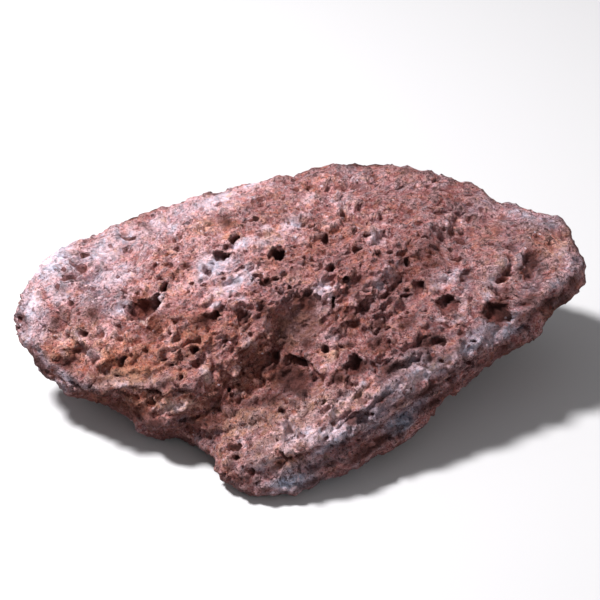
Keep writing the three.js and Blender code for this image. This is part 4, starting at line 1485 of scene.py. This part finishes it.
class TUFA_OT_add_stage(bpy.types.Operator):
    """Make the floor, the lamps and the camera"""

    bl_idname = "tufa.add_stage"
    bl_label = "Add stage"

    def execute(self, context):
        stage = context.scene.tufa_stage
        add_floor(stage)
        target = (CAD_BOX[0] + CAD_BOX[1]) / 2
        add_lamp("key_lamp", KEY_PLACE, target, KEY_SIZE, stage.key, KEY_TINT)
        add_lamp("fill_lamp", FILL_PLACE, target, FILL_SIZE, stage.fill, FILL_TINT)
        add_world(stage)
        add_camera(context)
        return {"FINISHED"}


def add_floor(stage):
    """A wide plain floor, level with the stone's foot."""
    half = FLOOR_SIZE / 2
    corners = np.array([[-half, -half, 0], [half, -half, 0], [half, half, 0], [-half, half, 0]])
    corners[:, 2] = CAD_BOX[0].z
    floor = bpy.data.objects.new("floor", mesh_of("floor", corners, np.array([[0, 1, 2, 3]])))
    bpy.context.scene.collection.objects.link(floor)
    graph = Graph("plain_floor")
    surface = {"Base Color": opaque(stage.floor), "Roughness": 0.9}
    shader = graph.add("ShaderNodeBsdfPrincipled", {}, surface)
    graph.add("ShaderNodeOutputMaterial", {}, {"Surface": shader})
    floor.data.materials.append(graph.material)


def add_world(stage):
    """Even light from all round."""
    world = bpy.data.worlds.new("studio")
    world.use_nodes = True
    background = world.node_tree.nodes["Background"]
    background.inputs["Color"].default_value = SKY_TINT
    background.inputs["Strength"].default_value = stage.sky
    bpy.context.scene.world = world


def add_camera(context):
    """The camera, square to the broad face."""
    camera = bpy.data.cameras.new("camera")
    camera.lens = LENS
    camera.sensor_width = SENSOR
    holder = bpy.data.objects.new("camera", camera)
    holder.location = CAMERA_PLACE
    holder.rotation_euler = (math.pi / 2 - ELEVATION, 0, 0)
    context.scene.collection.objects.link(holder)
    context.scene.camera = holder
    context.scene.view_settings.view_transform = "Standard"


class TUFA_PT_panel(bpy.types.Panel):
    """Lists what can be changed and made"""

    bl_label = "Red tufa stone"
    bl_idname = "TUFA_PT_panel"
    bl_space_type = "VIEW_3D"
    bl_region_type = "UI"
    bl_category = "Tufa"

    def draw(self, context):
        scene = context.scene
        for group in (scene.tufa_shape, scene.tufa_colours, scene.tufa_stage):
            box = self.layout.box()
            for name in group.__annotations__:
                box.prop(group, name)
        self.layout.operator(TUFA_OT_add_stone.bl_idname)
        self.layout.operator(TUFA_OT_add_stage.bl_idname)


CLASSES = (TufaShape, TufaColours, TufaStage, TUFA_OT_add_stone, TUFA_OT_add_stage, TUFA_PT_panel)
GROUPS = {"tufa_shape": TufaShape, "tufa_colours": TufaColours, "tufa_stage": TufaStage}


def register():
    for each in CLASSES:
        bpy.utils.register_class(each)
    for name, group in GROUPS.items():
        setattr(bpy.types.Scene, name, PointerProperty(type=group))


def unregister():
    for name in GROUPS:
        delattr(bpy.types.Scene, name)
    for each in reversed(CLASSES):
        bpy.utils.unregister_class(each)


def main():
    register()
    bpy.ops.tufa.add_stone()
    bpy.ops.tufa.add_stage()


if __name__ == "__main__":
    main()
